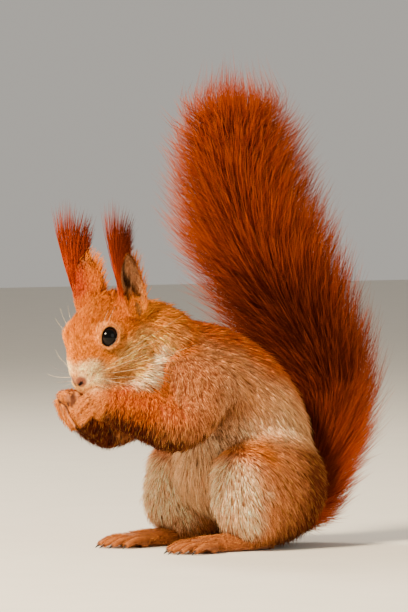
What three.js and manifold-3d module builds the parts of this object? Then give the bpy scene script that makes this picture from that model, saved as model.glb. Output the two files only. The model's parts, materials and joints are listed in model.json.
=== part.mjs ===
// A life-size red squirrel (Sciurus vulgaris) that sits up on its hind feet, holds its hands to its
// mouth and carries its brush up along its back.
//
// Frame: millimetres, +Z up, the nose towards -Y and the animal's own left side towards +X. Every
// outline is the outline of the coat, out to the tips of the hair. The body is a field: a function
// that is negative inside the coat and grows by about one for each millimetre outwards. Fields blend
// into each other, a net is drawn over their zero surface, and the result is parted with thin cuts.

import * as THREE from "three";
import { mergeVertices } from "three/addons/utils/BufferGeometryUtils.js";
import Module from "manifold-3d";

const wasm = await Module();
wasm.setup();

// ---------------------------------------------------------------- driving sizes, in millimetres

const GAP = 0.35; // clear space between neighbouring pieces
const LIMB_GAP = 0.9; // and round the limbs, whose flat faces cut the corners of their curves
const HEAD_CELL = 4.5; // sizes of the net's squares
const TORSO_CELL = 10;

const HEAD_PITCH = 45; // degrees that the nose points below the horizon
const HEAD_TURN = 8; // degrees that the head turns to its left
const BRUSH_TWIST = 20; // degrees that the flat of the brush turns about its own line

const EYE_RADIUS = 5;
const EAR_LENGTH = 26;
const EAR_HALF_WIDTH = 7.8;
const EAR_WALL = 1.7; // skin and short fur
const EAR_CURL = 118; // degrees that the ear's rim comes round from the middle of its back
const TUFT_LENGTH = 26; // the hair that stands beyond the ear's tip
const FINGERS = 4;
const FINGER_RADIUS = 1.9;
const TOES = 5;
const TOE_RADIUS = 2.7;
const CLAW_LENGTH = 2.2;
const CLAW_RADIUS = 0.75;

const SIDES = [
  ["left", 1],
  ["right", -1],
];

// A place or direction by the animal's own directions: to its left, forwards, up.
const at = (left, fore, up) => new THREE.Vector3(left, -fore, up);
const radians = THREE.MathUtils.degToRad;

// ---------------------------------------------------------------- fields

const hold = (v, low, high) => Math.min(Math.max(v, low), high);

// Union of two values that rounds the valley between them over a width of k.
function blend(a, b, k) {
  const h = Math.max(k - Math.abs(a - b), 0) / k;
  return Math.min(a, b) - (h * h * k) / 4;
}

// A smooth curve through the points, and the radius along it as another.
const curveOf = (points) => new THREE.CatmullRomCurve3(points);
const radiusCurve = (radii) => curveOf(radii.map((r) => new THREE.Vector3(r, 0, 0)));

// A round section that runs along the curve through the points, with a radius at each point.
function sweep({ points, radii }, steps = 4) {
  const curve = curveOf(points);
  const sizes = radiusCurve(radii);
  const count = (points.length - 1) * steps;
  const stations = Array.from({ length: count + 1 }, (_, i) => ({
    place: curve.getPoint(i / count),
    radius: sizes.getPoint(i / count).x,
  }));
  const away = new THREE.Vector3();
  const run = new THREE.Vector3();
  const field = (p) => {
    let best = Infinity;
    for (let i = 0; i < count; i++) {
      const a = stations[i];
      const b = stations[i + 1];
      run.subVectors(b.place, a.place);
      const t = hold(away.subVectors(p, a.place).dot(run) / run.lengthSq(), 0, 1);
      const far = away.addScaledVector(run, -t).length();
      best = Math.min(best, far - (a.radius + t * (b.radius - a.radius)));
    }
    return best;
  };
  field.box = new THREE.Box3();
  for (const { place, radius } of stations) {
    field.box.expandByPoint(place.clone().addScalar(radius));
    field.box.expandByPoint(place.clone().addScalar(-radius));
  }
  return field;
}

// An ellipsoid with its half-lengths to the left, forwards and up.
function ball(centre, left, fore, up) {
  const radii = new THREE.Vector3(left, fore, up);
  const unit = new THREE.Vector3();
  const field = (p) => {
    unit.copy(p).sub(centre).divide(radii);
    const near = unit.length();
    const slope = unit.divide(radii).length();
    return slope < 1e-6 ? -Math.min(left, fore, up) : (near * (near - 1)) / slope;
  };
  field.box = new THREE.Box3(centre.clone().sub(radii), centre.clone().add(radii));
  return field;
}

// Several fields as one, each with the width over which it blends into those before it.
function union(first, ...others) {
  const field = (p) => others.reduce((v, [f, k]) => blend(v, f(p), k), first(p));
  field.box = first.box.clone();
  for (const [f] of others) field.box.union(f.box);
  return field;
}

// A field that was written in a posed frame of its own.
function posed(field, matrix) {
  const back = matrix.clone().invert();
  const local = new THREE.Vector3();
  const moved = (p) => field(local.copy(p).applyMatrix4(back));
  moved.box = field.box.clone().applyMatrix4(matrix);
  return moved;
}

// ---------------------------------------------------------------- from fields to solids

// A closed solid from a geometry.
function solidOf(geometry) {
  const bare = new THREE.BufferGeometry();
  bare.setAttribute("position", geometry.getAttribute("position"));
  bare.setIndex(geometry.index);
  const merged = mergeVertices(bare, 1e-4);
  return new wasm.Manifold(
    new wasm.Mesh({
      numProp: 3,
      vertProperties: merged.attributes.position.array,
      triVerts: new Uint32Array(merged.index.array),
    }),
  );
}

// Draws a net of squares over the field's zero surface: one vertex in each cell that the surface
// passes through, pulled onto the surface, and one square across each grid edge that it cuts.
function netOver(field, cell) {
  const box = field.box.clone().expandByScalar(1.6 * cell);
  const size = box.getSize(new THREE.Vector3()).divideScalar(cell);
  const n = [size.x, size.y, size.z].map((s) => Math.ceil(s) + 1);
  const step = [1, n[0], n[0] * n[1]];
  const value = new Float32Array(n[0] * n[1] * n[2]);
  const corner = (i, j, k) =>
    new THREE.Vector3(i, j, k).multiplyScalar(cell).add(box.min);
  const each = (visit, trim) => {
    for (let k = 0; k < n[2] - trim; k++)
      for (let j = 0; j < n[1] - trim; j++)
        for (let i = 0; i < n[0] - trim; i++)
          visit(i, j, k, i * step[0] + j * step[1] + k * step[2]);
  };
  each((i, j, k, here) => (value[here] = field(corner(i, j, k))), 0);

  const positions = [];
  const vertexOf = new Map();
  each((i, j, k, here) => {
    const sum = new THREE.Vector3();
    let crossings = 0;
    for (let c = 0; c < 8; c++)
      for (let axis = 0; axis < 3; axis++) {
        if (c & (1 << axis)) continue;
        const low = here + (c & 1) * step[0] + ((c >> 1) & 1) * step[1] + (c >> 2) * step[2];
        const a = value[low];
        const b = value[low + step[axis]];
        if (a < 0 === b < 0) continue;
        const point = corner(i + (c & 1), j + ((c >> 1) & 1), k + (c >> 2));
        point.setComponent(axis, point.getComponent(axis) + (cell * a) / (a - b));
        sum.add(point);
        crossings++;
      }
    if (!crossings) return;
    vertexOf.set(here, positions.length / 3);
    positions.push(...pulledOn(field, sum.divideScalar(crossings), cell / 2));
  }, 1);

  const index = [];
  each((i, j, k, here) => {
    for (let axis = 0; axis < 3; axis++) {
      const u = (axis + 1) % 3;
      const v = (axis + 2) % 3;
      if (here + step[axis] >= value.length) continue;
      const inside = value[here] < 0;
      if (inside === value[here + step[axis]] < 0) continue;
      const ring = [here, here - step[u], here - step[u] - step[v], here - step[v]];
      const [a, b, c, d] = ring.map((cellIndex) => vertexOf.get(cellIndex));
      index.push(...(inside ? [a, b, c, a, c, d] : [a, c, b, a, d, c]));
    }
  }, 1);
  const net = new THREE.BufferGeometry();
  net.setAttribute("position", new THREE.Float32BufferAttribute(positions, 3));
  net.setIndex(index);
  return net;
}

// Moves a point along the field's slope onto its zero surface, by at most `reach`.
function pulledOn(field, point, reach) {
  const eps = 0.05;
  const start = point.clone();
  for (let pass = 0; pass < 3; pass++) {
    const here = field(point);
    const slope = new THREE.Vector3(
      ...[0, 1, 2].map((axis) => {
        const moved = point.clone();
        moved.setComponent(axis, moved.getComponent(axis) + eps);
        return (field(moved) - here) / eps;
      }),
    );
    point.addScaledVector(slope, -here / Math.max(slope.lengthSq(), 0.2));
  }
  return start.add(point.sub(start).clampLength(0, reach)).toArray();
}

// The half of space on the side of a plane that its normal points to.
function halfSpace(point, normal) {
  const size = 900;
  const box = new THREE.BoxGeometry(size, size, size);
  box.translate(0, 0, size / 2);
  const turn = new THREE.Quaternion().setFromUnitVectors(
    new THREE.Vector3(0, 0, 1),
    normal.clone().normalize(),
  );
  box.applyQuaternion(turn);
  box.translate(point.x, point.y, point.z);
  return solidOf(box);
}

// A closed tube along the curve through the points, with a radius at each point and blunt ends.
// The section is `wide` times as wide along the direction `across`, where one is given.
function tube({ points, radii, wide = 1, across }, sides, rings, extra = 0) {
  const curve = curveOf(points);
  const sizes = radiusCurve(radii);
  const side = at(0.6, 0.48, 0.64);
  const round = (share, way = 0) => {
    const along = curve.getTangent(share);
    if (across) side.copy(across);
    side.addScaledVector(along, -side.dot(along)).normalize();
    const other = new THREE.Vector3().crossVectors(along, side);
    const radius = sizes.getPoint(share).x + extra;
    const shrunk = way ? 0.62 * radius : radius;
    const place = curve.getPoint(share).addScaledVector(along, way * radius * 0.66);
    return Array.from({ length: sides }, (_, j) => {
      const angle = (j / sides) * 2 * Math.PI;
      return place
        .clone()
        .addScaledVector(side, wide * shrunk * Math.cos(angle))
        .addScaledVector(other, shrunk * Math.sin(angle));
    });
  };
  const middle = Array.from({ length: rings + 1 }, (_, i) => i / rings);
  return loft([round(0, -1), ...middle.map((share) => round(share)), round(1, 1)]);
}

// Closes a ring with a fan of triangles about its middle.
function fanEnd(ring, points) {
  const centre = ring.reduce((sum, i) => sum.add(points[i]), new THREE.Vector3());
  const middle = points.push(centre.divideScalar(ring.length)) - 1;
  return ring.flatMap((i, j) => [ring[(j + 1) % ring.length], i, middle]);
}

// Closes a ring that folds back on itself with a strip between its two halves.
function stripEnd(ring) {
  return Array.from({ length: ring.length / 2 - 1 }, (_, j) => {
    const [a, b, c, d] = [ring[j], ring[j + 1], ring.at(-2 - j), ring.at(-1 - j)];
    return [a, d, c, a, c, b];
  }).flat();
}

// A closed solid over rings of equally many points.
function loft(rings, closeEnd = fanEnd) {
  const sides = rings[0].length;
  const points = rings.flat();
  const ringAt = (i) => Array.from({ length: sides }, (_, j) => i * sides + j);
  const index = [];
  for (let i = 0; i < rings.length - 1; i++)
    ringAt(i).forEach((a, j) => {
      const b = i * sides + ((j + 1) % sides);
      index.push(a, b, b + sides, a, b + sides, a + sides);
    });
  index.push(...closeEnd(ringAt(0), points));
  index.push(...closeEnd(ringAt(rings.length - 1).toReversed(), points));
  const skin = new THREE.BufferGeometry().setFromPoints(points);
  skin.setIndex(index);
  return solidOf(skin);
}

// An ellipsoid as a solid.
function egg(centre, left, fore, up, sides) {
  const sphere = new THREE.SphereGeometry(1, sides, Math.round(sides * 0.65));
  return solidOf(sphere.scale(left, fore, up).translate(centre.x, centre.y, centre.z));
}

const joined = (pieces) => pieces.reduce((a, b) => a.add(b));

// The largest of a solid's bodies, so that no loose sliver is left.
const largest = (solid) => solid.decompose().sort((a, b) => b.volume() - a.volume())[0];

// What a solid keeps on either side of the plane through a place, less half of the gap.
const behind = (solid, place, normal) =>
  solid.intersect(halfSpace(place.clone().addScaledVector(normal, -GAP / 2), normal.clone().negate()));
const beyond = (solid, place, normal) =>
  solid.intersect(halfSpace(place.clone().addScaledVector(normal, GAP / 2), normal));

// Parts a solid across a curve at the given shares of its length.
function partedAlong(solid, curve, shares) {
  return [...shares, null].map((share, i) => {
    let piece = solid;
    if (i > 0) piece = beyond(piece, curve.getPoint(shares[i - 1]), curve.getTangent(shares[i - 1]));
    if (share) piece = behind(piece, curve.getPoint(share), curve.getTangent(share));
    return largest(piece);
  });
}

// ---------------------------------------------------------------- skeleton: places and radii

const SPINE = {
  points: [
    at(0, -26, 25), // rump, which just rests on the ground
    at(0, -22, 46), // loin
    at(0, -12, 68), // waist
    at(0, 6, 85), // chest
    at(0, 27, 94.5), // shoulders
    at(0, 43, 103.5), // neck
    at(0, 56, 109.5), // nape
  ],
  radii: [26, 29.5, 30, 26, 21.5, 19.5, 16.5],
};
const SPINE_CUTS = [0.14, 0.42, 0.68, 0.84]; // where the belly, chest, neck and head begin

const BRUSH = {
  points: [
    at(0, -40, 18),
    at(0, -50, 17),
    at(0, -57, 24),
    at(0, -60, 40),
    at(0, -65, 61),
    at(0, -64, 86),
    at(0, -51, 110),
    at(0, -34, 135),
    at(0, -20.5, 160),
    at(0, -12.5, 185),
    at(0, -10, 205),
    at(0, -9, 221),
    at(0, -9, 231.5),
  ],
  radii: [13, 14, 15.5, 18.5, 21.5, 24.5, 28, 30.5, 30.8, 29.5, 26.5, 21, 11.5],
  wide: 1.6,
  across: at(Math.cos(radians(BRUSH_TWIST)), -Math.sin(radians(BRUSH_TWIST)), 0),
};
const BRUSH_CUTS = [0.3, 0.5, 0.68, 0.85];

const ARMS = {
  left: {
    shoulder: at(15, 21, 80),
    elbow: at(25.5, 45, 64.5),
    wrist: at(9, 79, 74),
    knuckles: at(7.4, 84.5, 76),
    fingertips: at(3.6, 90, 67),
  },
  right: {
    shoulder: at(-15, 21, 80),
    elbow: at(-25.5, 47, 64.5),
    wrist: at(-11, 83, 72),
    knuckles: at(-9, 90, 75.5),
    fingertips: at(-3.4, 88, 64.5),
  },
};
const ARM_RADII = [14.5, 14.3, 12.2, 6.6]; // shoulder, elbow, middle of the forearm, wrist

// ---------------------------------------------------------------- trunk

const ground = halfSpace(at(0, 0, 0), at(0, 0, 1));
const spineField = sweep(SPINE);
const bib = ball(at(0, 38, 91), 13, 13, 14); // the full fur of the breast
const throat = ball(at(0, 51, 88.5), 17.5, 13.5, 12.5);
const ruffs = SIDES.map(([, sign]) => ball(at(10 * sign, 58, 88), 10.3, 10.3, 9.8)); // below the cheeks
const breast = [[bib, 10], [throat, 8], [ruffs[0], 5], [ruffs[1], 5]];

function trunkNet() {
  const belly = ball(at(0, -2, 44), 24, 25, 28);
  return netOver(union(spineField, [belly, 12], ...breast), TORSO_CELL);
}

function trunk() {
  let whole = solidOf(trunkNet()).intersect(ground);
  for (const [side, sign] of SIDES)
    whole = whole.subtract(leg(sign, LIMB_GAP)).subtract(arm(ARMS[side], LIMB_GAP));
  const [rump, belly, chest, neck] = partedAlong(whole, curveOf(SPINE.points), SPINE_CUTS);
  return { rump, belly, chest, neck };
}

// ---------------------------------------------------------------- head

const headPose = new THREE.Matrix4()
  .makeTranslation(at(0.8, 73, 105.5))
  .multiply(new THREE.Matrix4().makeRotationZ(radians(HEAD_TURN)))
  .multiply(new THREE.Matrix4().makeRotationX(radians(HEAD_PITCH)));
const onHead = (left, fore, up) => at(left, fore, up).applyMatrix4(headPose);
const eyePlace = (sign) => onHead(12.2 * sign, 5.6, 7.8);
const nosePlace = onHead(0, 27.8, -2);

// Written with the nose level, about a point between the ears and the eyes.
function headField() {
  const skull = ball(at(0, -4, 1), 16.2, 22, 16.5);
  const snout = { points: [at(0, 6, 3), at(0, 14.5, 1), at(0, 22.8, -2.6)], radii: [13.2, 10.3, 6.5] };
  const jaw = { points: [at(0, 2, -8), at(0, 12, -9.5), at(0, 18.2, -8.8)], radii: [10, 7.2, 4] };
  const masses = [
    [sweep(snout), 8],
    [sweep(jaw), 5],
  ];
  for (const [, sign] of SIDES) {
    const cheek = ball(at(7.2 * sign, 5, -7), 9.6, 13.5, 10);
    const jowl = ball(at(7.6 * sign, 2.5, -12.5), 8.8, 11.2, 7.8);
    const whiskerPad = ball(at(4.1 * sign, 20.9, -5.4), 4.8, 5.8, 4.6);
    const brow = ball(at(9.3 * sign, 4.5, 10.8), 5.2, 8, 4.4);
    const earRoot = ball(at(12 * sign, -15, 5.5), 6, 7, 8);
    masses.push([cheek, 5], [jowl, 5], [whiskerPad, 2], [brow, 4], [earRoot, 5]);
  }
  return posed(union(skull, ...masses), headPose);
}

function eye(sign, radius) {
  const { x, y, z } = eyePlace(sign);
  return solidOf(new THREE.SphereGeometry(radius, 12, 8).translate(x, y, z));
}

const nose = (extra = 0) => egg(nosePlace, 3.2 + extra, 2.4 + extra, 2.4 + extra, 10);

function head() {
  const field = union(headField(), [spineField, 7], ...breast);
  const line = curveOf(SPINE.points);
  const start = SPINE_CUTS.at(-1);
  let whole = solidOf(netOver(field, HEAD_CELL));
  whole = beyond(whole, line.getPoint(start), line.getTangent(start)).subtract(nose(GAP));
  for (const [side, sign] of SIDES) {
    whole = whole.subtract(eye(sign, EYE_RADIUS + GAP)).subtract(ear(sign, GAP));
    whole = whole.subtract(arm(ARMS[side], LIMB_GAP));
  }
  return largest(whole);
}

// ---------------------------------------------------------------- ears

// Where each ear stands on the head, the way it points and the way it opens: the right ear is
// turned back, so that the left side sees the flat of its back.
const EARS = {
  left: { base: onHead(14.3, -16, 6.4), along: at(0.08, 0.23, 1), open: at(0.97, -0.08, 0) },
  right: { base: onHead(-14.8, -14.5, 6.2), along: at(-0.04, 0.16, 1), open: at(-0.92, -0.38, 0) },
};

// Where an ear stands, and the directions up along it, out of its mouth and across it.
function earFrame(sign) {
  const ear = EARS[sign > 0 ? "left" : "right"];
  const base = ear.base.clone();
  const along = ear.along.clone().normalize();
  const open = ear.open.clone();
  const out = open.addScaledVector(along, -open.dot(along)).normalize();
  return { base, along, out, across: new THREE.Vector3().crossVectors(along, out) };
}

// The ear's shell: a scoop that is open to the side, widest below its middle and pointed above.
function ear(sign, extra = 0) {
  const { base, along, out, across } = earFrame(sign);
  const row = (v) => {
    const half = extra + EAR_HALF_WIDTH * Math.sqrt(1 - 0.97 * v ** 2.4) * (0.85 + 0.3 * v);
    const curl = radians(EAR_CURL * (1 - 0.45 * v)) + extra / half;
    const wall = Math.min(EAR_WALL + 2 * extra, 0.5 * half);
    const place = (radius, angle) =>
      base
        .clone()
        .addScaledVector(along, v * (EAR_LENGTH + 2 * extra) - extra)
        .addScaledVector(across, radius * Math.sin(angle))
        .addScaledVector(out, -0.62 * radius * Math.cos(angle));
    const angles = Array.from({ length: 7 }, (_, j) => (1 - j / 3) * curl);
    const inner = angles.toReversed().map((angle) => place(half - wall, angle));
    return [...angles.map((angle) => place(half, angle)), ...inner];
  };
  return loft(Array.from({ length: 9 }, (_, i) => row(i / 8)), stripEnd);
}

// The long hair above the ear's tip, as one plume.
function earTuft(sign) {
  const { base, along, out, across } = earFrame(sign);
  const root = base.clone().addScaledVector(along, EAR_LENGTH + GAP + 2).addScaledVector(out, -1);
  root.addScaledVector(across, -2.5 * sign);
  const point = (share) => root.clone().addScaledVector(at(0, 0.22, 1), share * TUFT_LENGTH);
  const points = [0, 0.35, 0.7, 1].map(point);
  return tube({ points, radii: [3, 4, 4.3, 1.6], wide: 2, across }, 8, 6);
}

// ---------------------------------------------------------------- digits

// A digit that bends through its points and ends in a claw.
function digit(points, radius) {
  const tip = points.at(-1);
  const way = tip.clone().sub(points.at(-2)).normalize();
  const clawTip = tip.clone().addScaledVector(way, radius + CLAW_LENGTH);
  const radii = [radius * 1.08, radius, radius * 0.8, CLAW_RADIUS];
  return tube({ points: [...points, clawTip], radii }, 5, 3);
}

// Numbers evenly spaced about zero, one apart.
const aboutZero = (count) => Array.from({ length: count }, (_, i) => i - (count - 1) / 2);

// ---------------------------------------------------------------- arms and hands

// The shoulder's muscle and loose skin, between the neck and the upper arm.
function shoulderMass({ shoulder }, extra = 0) {
  const centre = at(Math.sign(shoulder.x) * 18.5, 37, 83);
  return egg(centre, 12.8 + extra, 17.3 + extra, 15.8 + extra, 10);
}

// The arm from the shoulder to the wrist, with its surface moved out by `extra`.
function arm(side, extra = 0) {
  const { shoulder, elbow, wrist } = side;
  const points = [shoulder, elbow, elbow.clone().lerp(wrist, 0.55), wrist];
  const round = Array(3).fill(ARM_RADII[0] + extra);
  const limb = tube({ points, radii: ARM_RADII }, 10, 5, extra);
  return egg(shoulder, ...round, 10).add(limb).add(shoulderMass(side, extra));
}

// A palm, with fingers that bend down and in.
function hand({ wrist, knuckles, fingertips }, sign) {
  const palm = { points: [wrist, wrist.clone().lerp(knuckles, 0.5), knuckles], radii: [5.4, 5.2, 3.6] };
  const spread = at(sign * 0.35, 0.8, 0.2).normalize();
  const arch = at(sign * 0.5, 0.7, 0.4).multiplyScalar(1.6);
  const fingers = aboutZero(FINGERS).map((off) => {
    const root = knuckles.clone().addScaledVector(spread, 2.2 * off);
    const end = fingertips.clone().addScaledVector(spread, 2.6 * off);
    return digit([root, root.clone().lerp(end, 0.45).add(arch), end], FINGER_RADIUS);
  });
  return joined([tube(palm, 8, 3), ...fingers]);
}

function armParts(side, sign) {
  const { shoulder, elbow, wrist } = ARMS[side];
  const halves = partedAlong(arm(ARMS[side]), curveOf([shoulder, elbow, wrist]), [0.5]);
  const way = wrist.clone().sub(elbow).normalize();
  return {
    ["upper_arm_" + side]: halves[0].add(shoulderMass(ARMS[side])),
    ["forearm_" + side]: largest(behind(halves[1], wrist, way).subtract(shoulderMass(ARMS[side], GAP))),
    ["hand_" + side]: largest(beyond(hand(ARMS[side], sign), wrist, way)),
  };
}

// ---------------------------------------------------------------- legs and feet

// The haunch and the folded shank, with their surface moved out by `extra`.
function leg(sign, extra = 0) {
  const haunch = egg(at(25 * sign, -12, 31), 17 + extra, 33 + extra, 28.6 + extra, 14);
  const shank = {
    points: [at(29 * sign, 5, 38), at(30 * sign, 8, 21), at(27 * sign, 0, 9.5)],
    radii: [14, 13, 8],
  };
  return haunch.add(tube(shank, 10, 4, extra));
}

// The foot: a flat sole from the heel to the ball, then toes that fan out.
function foot(sign) {
  const points = [at(27 * sign, -4, 4.2), at(27 * sign, 20, 4.2), at(28 * sign, 37, 3.6)];
  const sole = tube({ points, radii: [4.6, 4.8, 4.2], wide: 1.75, across: at(1, 0, 0) }, 8, 4);
  const toes = aboutZero(TOES).map((off) => {
    const shortening = off * off;
    const root = at(28 * sign + 3 * off, 36 - 1.1 * shortening, 2.8);
    const bend = at(28 * sign + 4 * off, 44 - 1.3 * shortening, 3.1);
    const end = at(28 * sign + 4.7 * off, 51 - 1.5 * shortening, 2);
    return digit([root, bend, end], TOE_RADIUS);
  });
  return joined([sole, ...toes]);
}

function legParts(side, sign) {
  const line = curveOf([at(27 * sign, -8, 58), at(27 * sign, 4, 0)]);
  const [thigh, shank] = partedAlong(leg(sign).intersect(ground), line, [0.62]);
  return {
    ["thigh_" + side]: thigh,
    ["shank_" + side]: shank,
    ["foot_" + side]: largest(foot(sign).intersect(ground).subtract(leg(sign, LIMB_GAP))),
  };
}

// ---------------------------------------------------------------- brush

// The brush, hollowed where it lies against the back and the haunches.
function brush() {
  let whole = tube(BRUSH, 12, 20).intersect(ground);
  for (const rise of [LIMB_GAP, -LIMB_GAP])
    whole = whole.subtract(solidOf(trunkNet().translate(0, LIMB_GAP, rise)));
  for (const [, sign] of SIDES) whole = whole.subtract(leg(sign, LIMB_GAP));
  const pieces = partedAlong(largest(whole), curveOf(BRUSH.points), BRUSH_CUTS);
  return Object.fromEntries(
    ["root", "lower", "middle", "upper", "tip"].map((part, i) => ["tail_" + part, pieces[i]]),
  );
}

// ---------------------------------------------------------------- scene graph

const COLOURS = {
  rump: 0xa9582b,
  belly: 0xc99b73,
  chest: 0xb8632f,
  neck: 0xc07038,
  head: 0xc0662f,
  nose: 0x6b4038,
  eye: 0x0d0a08,
  ear: 0xb2511f,
  ear_tuft: 0x78300f,
  upper_arm: 0xc46a2c,
  forearm: 0xcc6420,
  hand: 0xb98a68,
  thigh: 0xc08452,
  shank: 0xa8643a,
  foot: 0xa86a48,
  tail: 0x96380f,
};
const ROUGHNESS = { eye: 0.08, nose: 0.45, hand: 0.6, foot: 0.6 };
const FUR_ROUGHNESS = 0.85;

function nodeOf(name, solid) {
  const { vertProperties, triVerts } = solid.getMesh();
  const geometry = new THREE.BufferGeometry();
  geometry.setAttribute("position", new THREE.BufferAttribute(vertProperties, 3));
  geometry.setIndex(new THREE.BufferAttribute(triVerts, 1));
  const part = name.replace(/_(left|right)$/, "").replace(/^tail_.*/, "tail");
  const finish = { color: COLOURS[part], roughness: ROUGHNESS[part] ?? FUR_ROUGHNESS, metalness: 0 };
  const mesh = new THREE.Mesh(geometry, new THREE.MeshStandardMaterial(finish));
  mesh.name = name;
  return mesh;
}

const solids = { ...trunk(), head: head(), nose: nose(), ...brush() };
for (const [side, sign] of SIDES) {
  solids["eye_" + side] = eye(sign, EYE_RADIUS);
  solids["ear_" + side] = ear(sign);
  solids["ear_tuft_" + side] = earTuft(sign);
  Object.assign(solids, armParts(side, sign), legParts(side, sign));
}

const animal = new THREE.Group();
for (const [name, solid] of Object.entries(solids)) animal.add(nodeOf(name, solid));

// The origin is on the ground, under the middle of the whole outline.
const middle = new THREE.Box3().setFromObject(animal).getCenter(new THREE.Vector3());
animal.position.set(-middle.x, -middle.y, 0);

const squirrel = new THREE.Group();
squirrel.add(animal);

export default squirrel;
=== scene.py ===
# %% [markdown]
# # A life-size red squirrel that sits up and holds its hands to its mouth
#
# The solid model gives each part of the animal as a plain block that reaches the tips of its hair.
# Here the same skeleton is used once more to make what the eye sees: one skin without seams, glossy
# eyes, claws, whiskers, and over the skin a coat of some two hundred thousand tufts
# and hairs.
# We start by loading the solid model, which fixes every place and size.

# %% The fixed frame
import json

import bpy
import numpy as np
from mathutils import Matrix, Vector

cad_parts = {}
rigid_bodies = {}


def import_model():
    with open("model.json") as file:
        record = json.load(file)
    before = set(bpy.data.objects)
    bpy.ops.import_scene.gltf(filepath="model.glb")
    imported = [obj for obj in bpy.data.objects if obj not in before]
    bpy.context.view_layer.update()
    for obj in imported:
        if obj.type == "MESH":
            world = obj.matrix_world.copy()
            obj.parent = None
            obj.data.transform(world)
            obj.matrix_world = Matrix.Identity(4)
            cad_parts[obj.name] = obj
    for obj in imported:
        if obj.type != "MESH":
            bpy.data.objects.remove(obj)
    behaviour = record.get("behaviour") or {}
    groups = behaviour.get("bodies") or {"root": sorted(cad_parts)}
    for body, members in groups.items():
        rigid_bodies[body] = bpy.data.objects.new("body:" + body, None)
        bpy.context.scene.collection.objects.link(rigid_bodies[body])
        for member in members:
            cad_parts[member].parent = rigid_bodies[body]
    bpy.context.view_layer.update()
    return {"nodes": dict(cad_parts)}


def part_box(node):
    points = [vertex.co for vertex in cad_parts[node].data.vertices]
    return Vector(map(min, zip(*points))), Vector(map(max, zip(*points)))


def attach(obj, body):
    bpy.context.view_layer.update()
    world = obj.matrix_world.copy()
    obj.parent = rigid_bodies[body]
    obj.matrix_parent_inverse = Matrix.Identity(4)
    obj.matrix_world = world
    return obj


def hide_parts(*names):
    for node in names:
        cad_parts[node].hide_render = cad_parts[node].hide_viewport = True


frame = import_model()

# %% [markdown]
# ## The skeleton
#
# The animal is drawn in millimetres by its own directions: to its left, forwards and up. A limb is a
# smooth line with a radius at each place, and the radius reaches the tips of the coat. The skin lies
# deeper by the depth of the coat, so that the hair fills what is left.

# %% Directions, curves and the pose of the head
MM = 0.001
HEAD_PITCH, HEAD_TURN, BRUSH_TWIST = np.radians([45.0, 8.0, 20.0])
SIDES = (("left", 1.0), ("right", -1.0))


def at(left, fore, up):
    """A place or direction by the animal's own left, front and top."""
    return np.array([left, -fore, up], float)


def unit(vectors):
    """The same directions with a length of one."""
    return vectors / np.maximum(np.linalg.norm(vectors, axis=-1, keepdims=True), 1e-9)


def smooth_line(points, per_span=5):
    """A Catmull-Rom curve: between two points it is the cubic whose slope at each point is half the
    step from the point before it to the point after it."""
    p = np.asarray(points, float).reshape(len(points), -1)
    p = np.vstack([2 * p[0] - p[1], p, 2 * p[-1] - p[-2]])
    a, b, c, d = (p[i : len(p) - 3 + i, None] for i in range(4))
    t = (np.arange(per_span) / per_span)[None, :, None]
    cubic = b + t / 2 * (c - a + t * (2 * a - 5 * b + 4 * c - d + t * (3 * b - a - 3 * c + d)))
    return np.vstack([cubic.reshape(-1, p.shape[1]), p[-2]])


def limb(points, radii, coat=0.0, per_span=5):
    """A line of places and the radius of the skin at each, which is the coat's radius less its depth."""
    return smooth_line(points, per_span), smooth_line(radii, per_span)[:, 0] - coat


cos_p, sin_p = np.cos(HEAD_PITCH), np.sin(HEAD_PITCH)
cos_t, sin_t = np.cos(HEAD_TURN), np.sin(HEAD_TURN)
HEAD_AXES = np.array([[cos_t, -sin_t, 0], [sin_t, cos_t, 0], [0, 0, 1]]) @ np.array(
    [[1, 0, 0], [0, cos_p, -sin_p], [0, sin_p, cos_p]]
)
HEAD_PLACE = at(0.8, 73, 105.5)


def on_head(left, fore, up):
    """A place given with the nose level, carried to where the head is held."""
    return HEAD_PLACE + HEAD_AXES @ at(left, fore, up)


EYE_AT = (12.2, 5.6, 7.8)
eye_low, eye_high = (np.array(corner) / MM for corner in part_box("eye_left"))
EYE_RADIUS = (eye_high - eye_low)[0] / 2
SHIFT = (eye_low + eye_high) / 2 - on_head(*EYE_AT)
print("eye radius %.2f mm, the frame's origin is %s mm from the skeleton's" % (EYE_RADIUS, SHIFT.round(2)))

# %% Trunk, arms, legs and tail
SPINE = limb(
    [at(0, -26, 25), at(0, -22, 46), at(0, -12, 68), at(0, 6, 85), at(0, 27, 94.5), at(0, 43, 103.5), at(0, 56, 109.5)],
    [26, 29.5, 30, 26, 21.5, 19.5, 16.5],
    coat=3.2,
)
BRUSH_LINE = smooth_line(
    [at(0, -40, 18), at(0, -50, 17), at(0, -57, 24), at(0, -60, 40), at(0, -65, 61), at(0, -64, 86), at(0, -51, 110)]
    + [at(0, -34, 135), at(0, -20.5, 160), at(0, -12.5, 185), at(0, -10, 205), at(0, -9, 220)]
)
BRUSH_DEPTH = smooth_line([13, 14, 15.5, 18.5, 21.5, 24.5, 28, 30.5, 30.8, 29.5, 27, 23])[:, 0]
BRUSH_WIDE = 1.6
BRUSH_ACROSS = at(np.cos(BRUSH_TWIST), -np.sin(BRUSH_TWIST), 0)
BRUSH_LENGTH = np.linalg.norm(np.diff(BRUSH_LINE, axis=0), axis=1).sum()
BRUSH_CORE = int(0.85 * len(BRUSH_LINE))
TAIL = BRUSH_LINE[:BRUSH_CORE], np.linspace(9.5, 2.2, BRUSH_CORE)

ARMS = {
    "left": (at(15, 21, 80), at(25.5, 45, 64.5), at(9, 79, 74)),
    "right": (at(-15, 21, 80), at(-25.5, 47, 64.5), at(-11, 83, 72)),
}
KNUCKLES = {"left": at(7.5, 83.5, 77.5), "right": at(-9, 90.5, 77)}
FINGERTIPS = {"left": at(3.4, 91, 67.5), "right": at(-3.2, 86.5, 63.5)}


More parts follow.
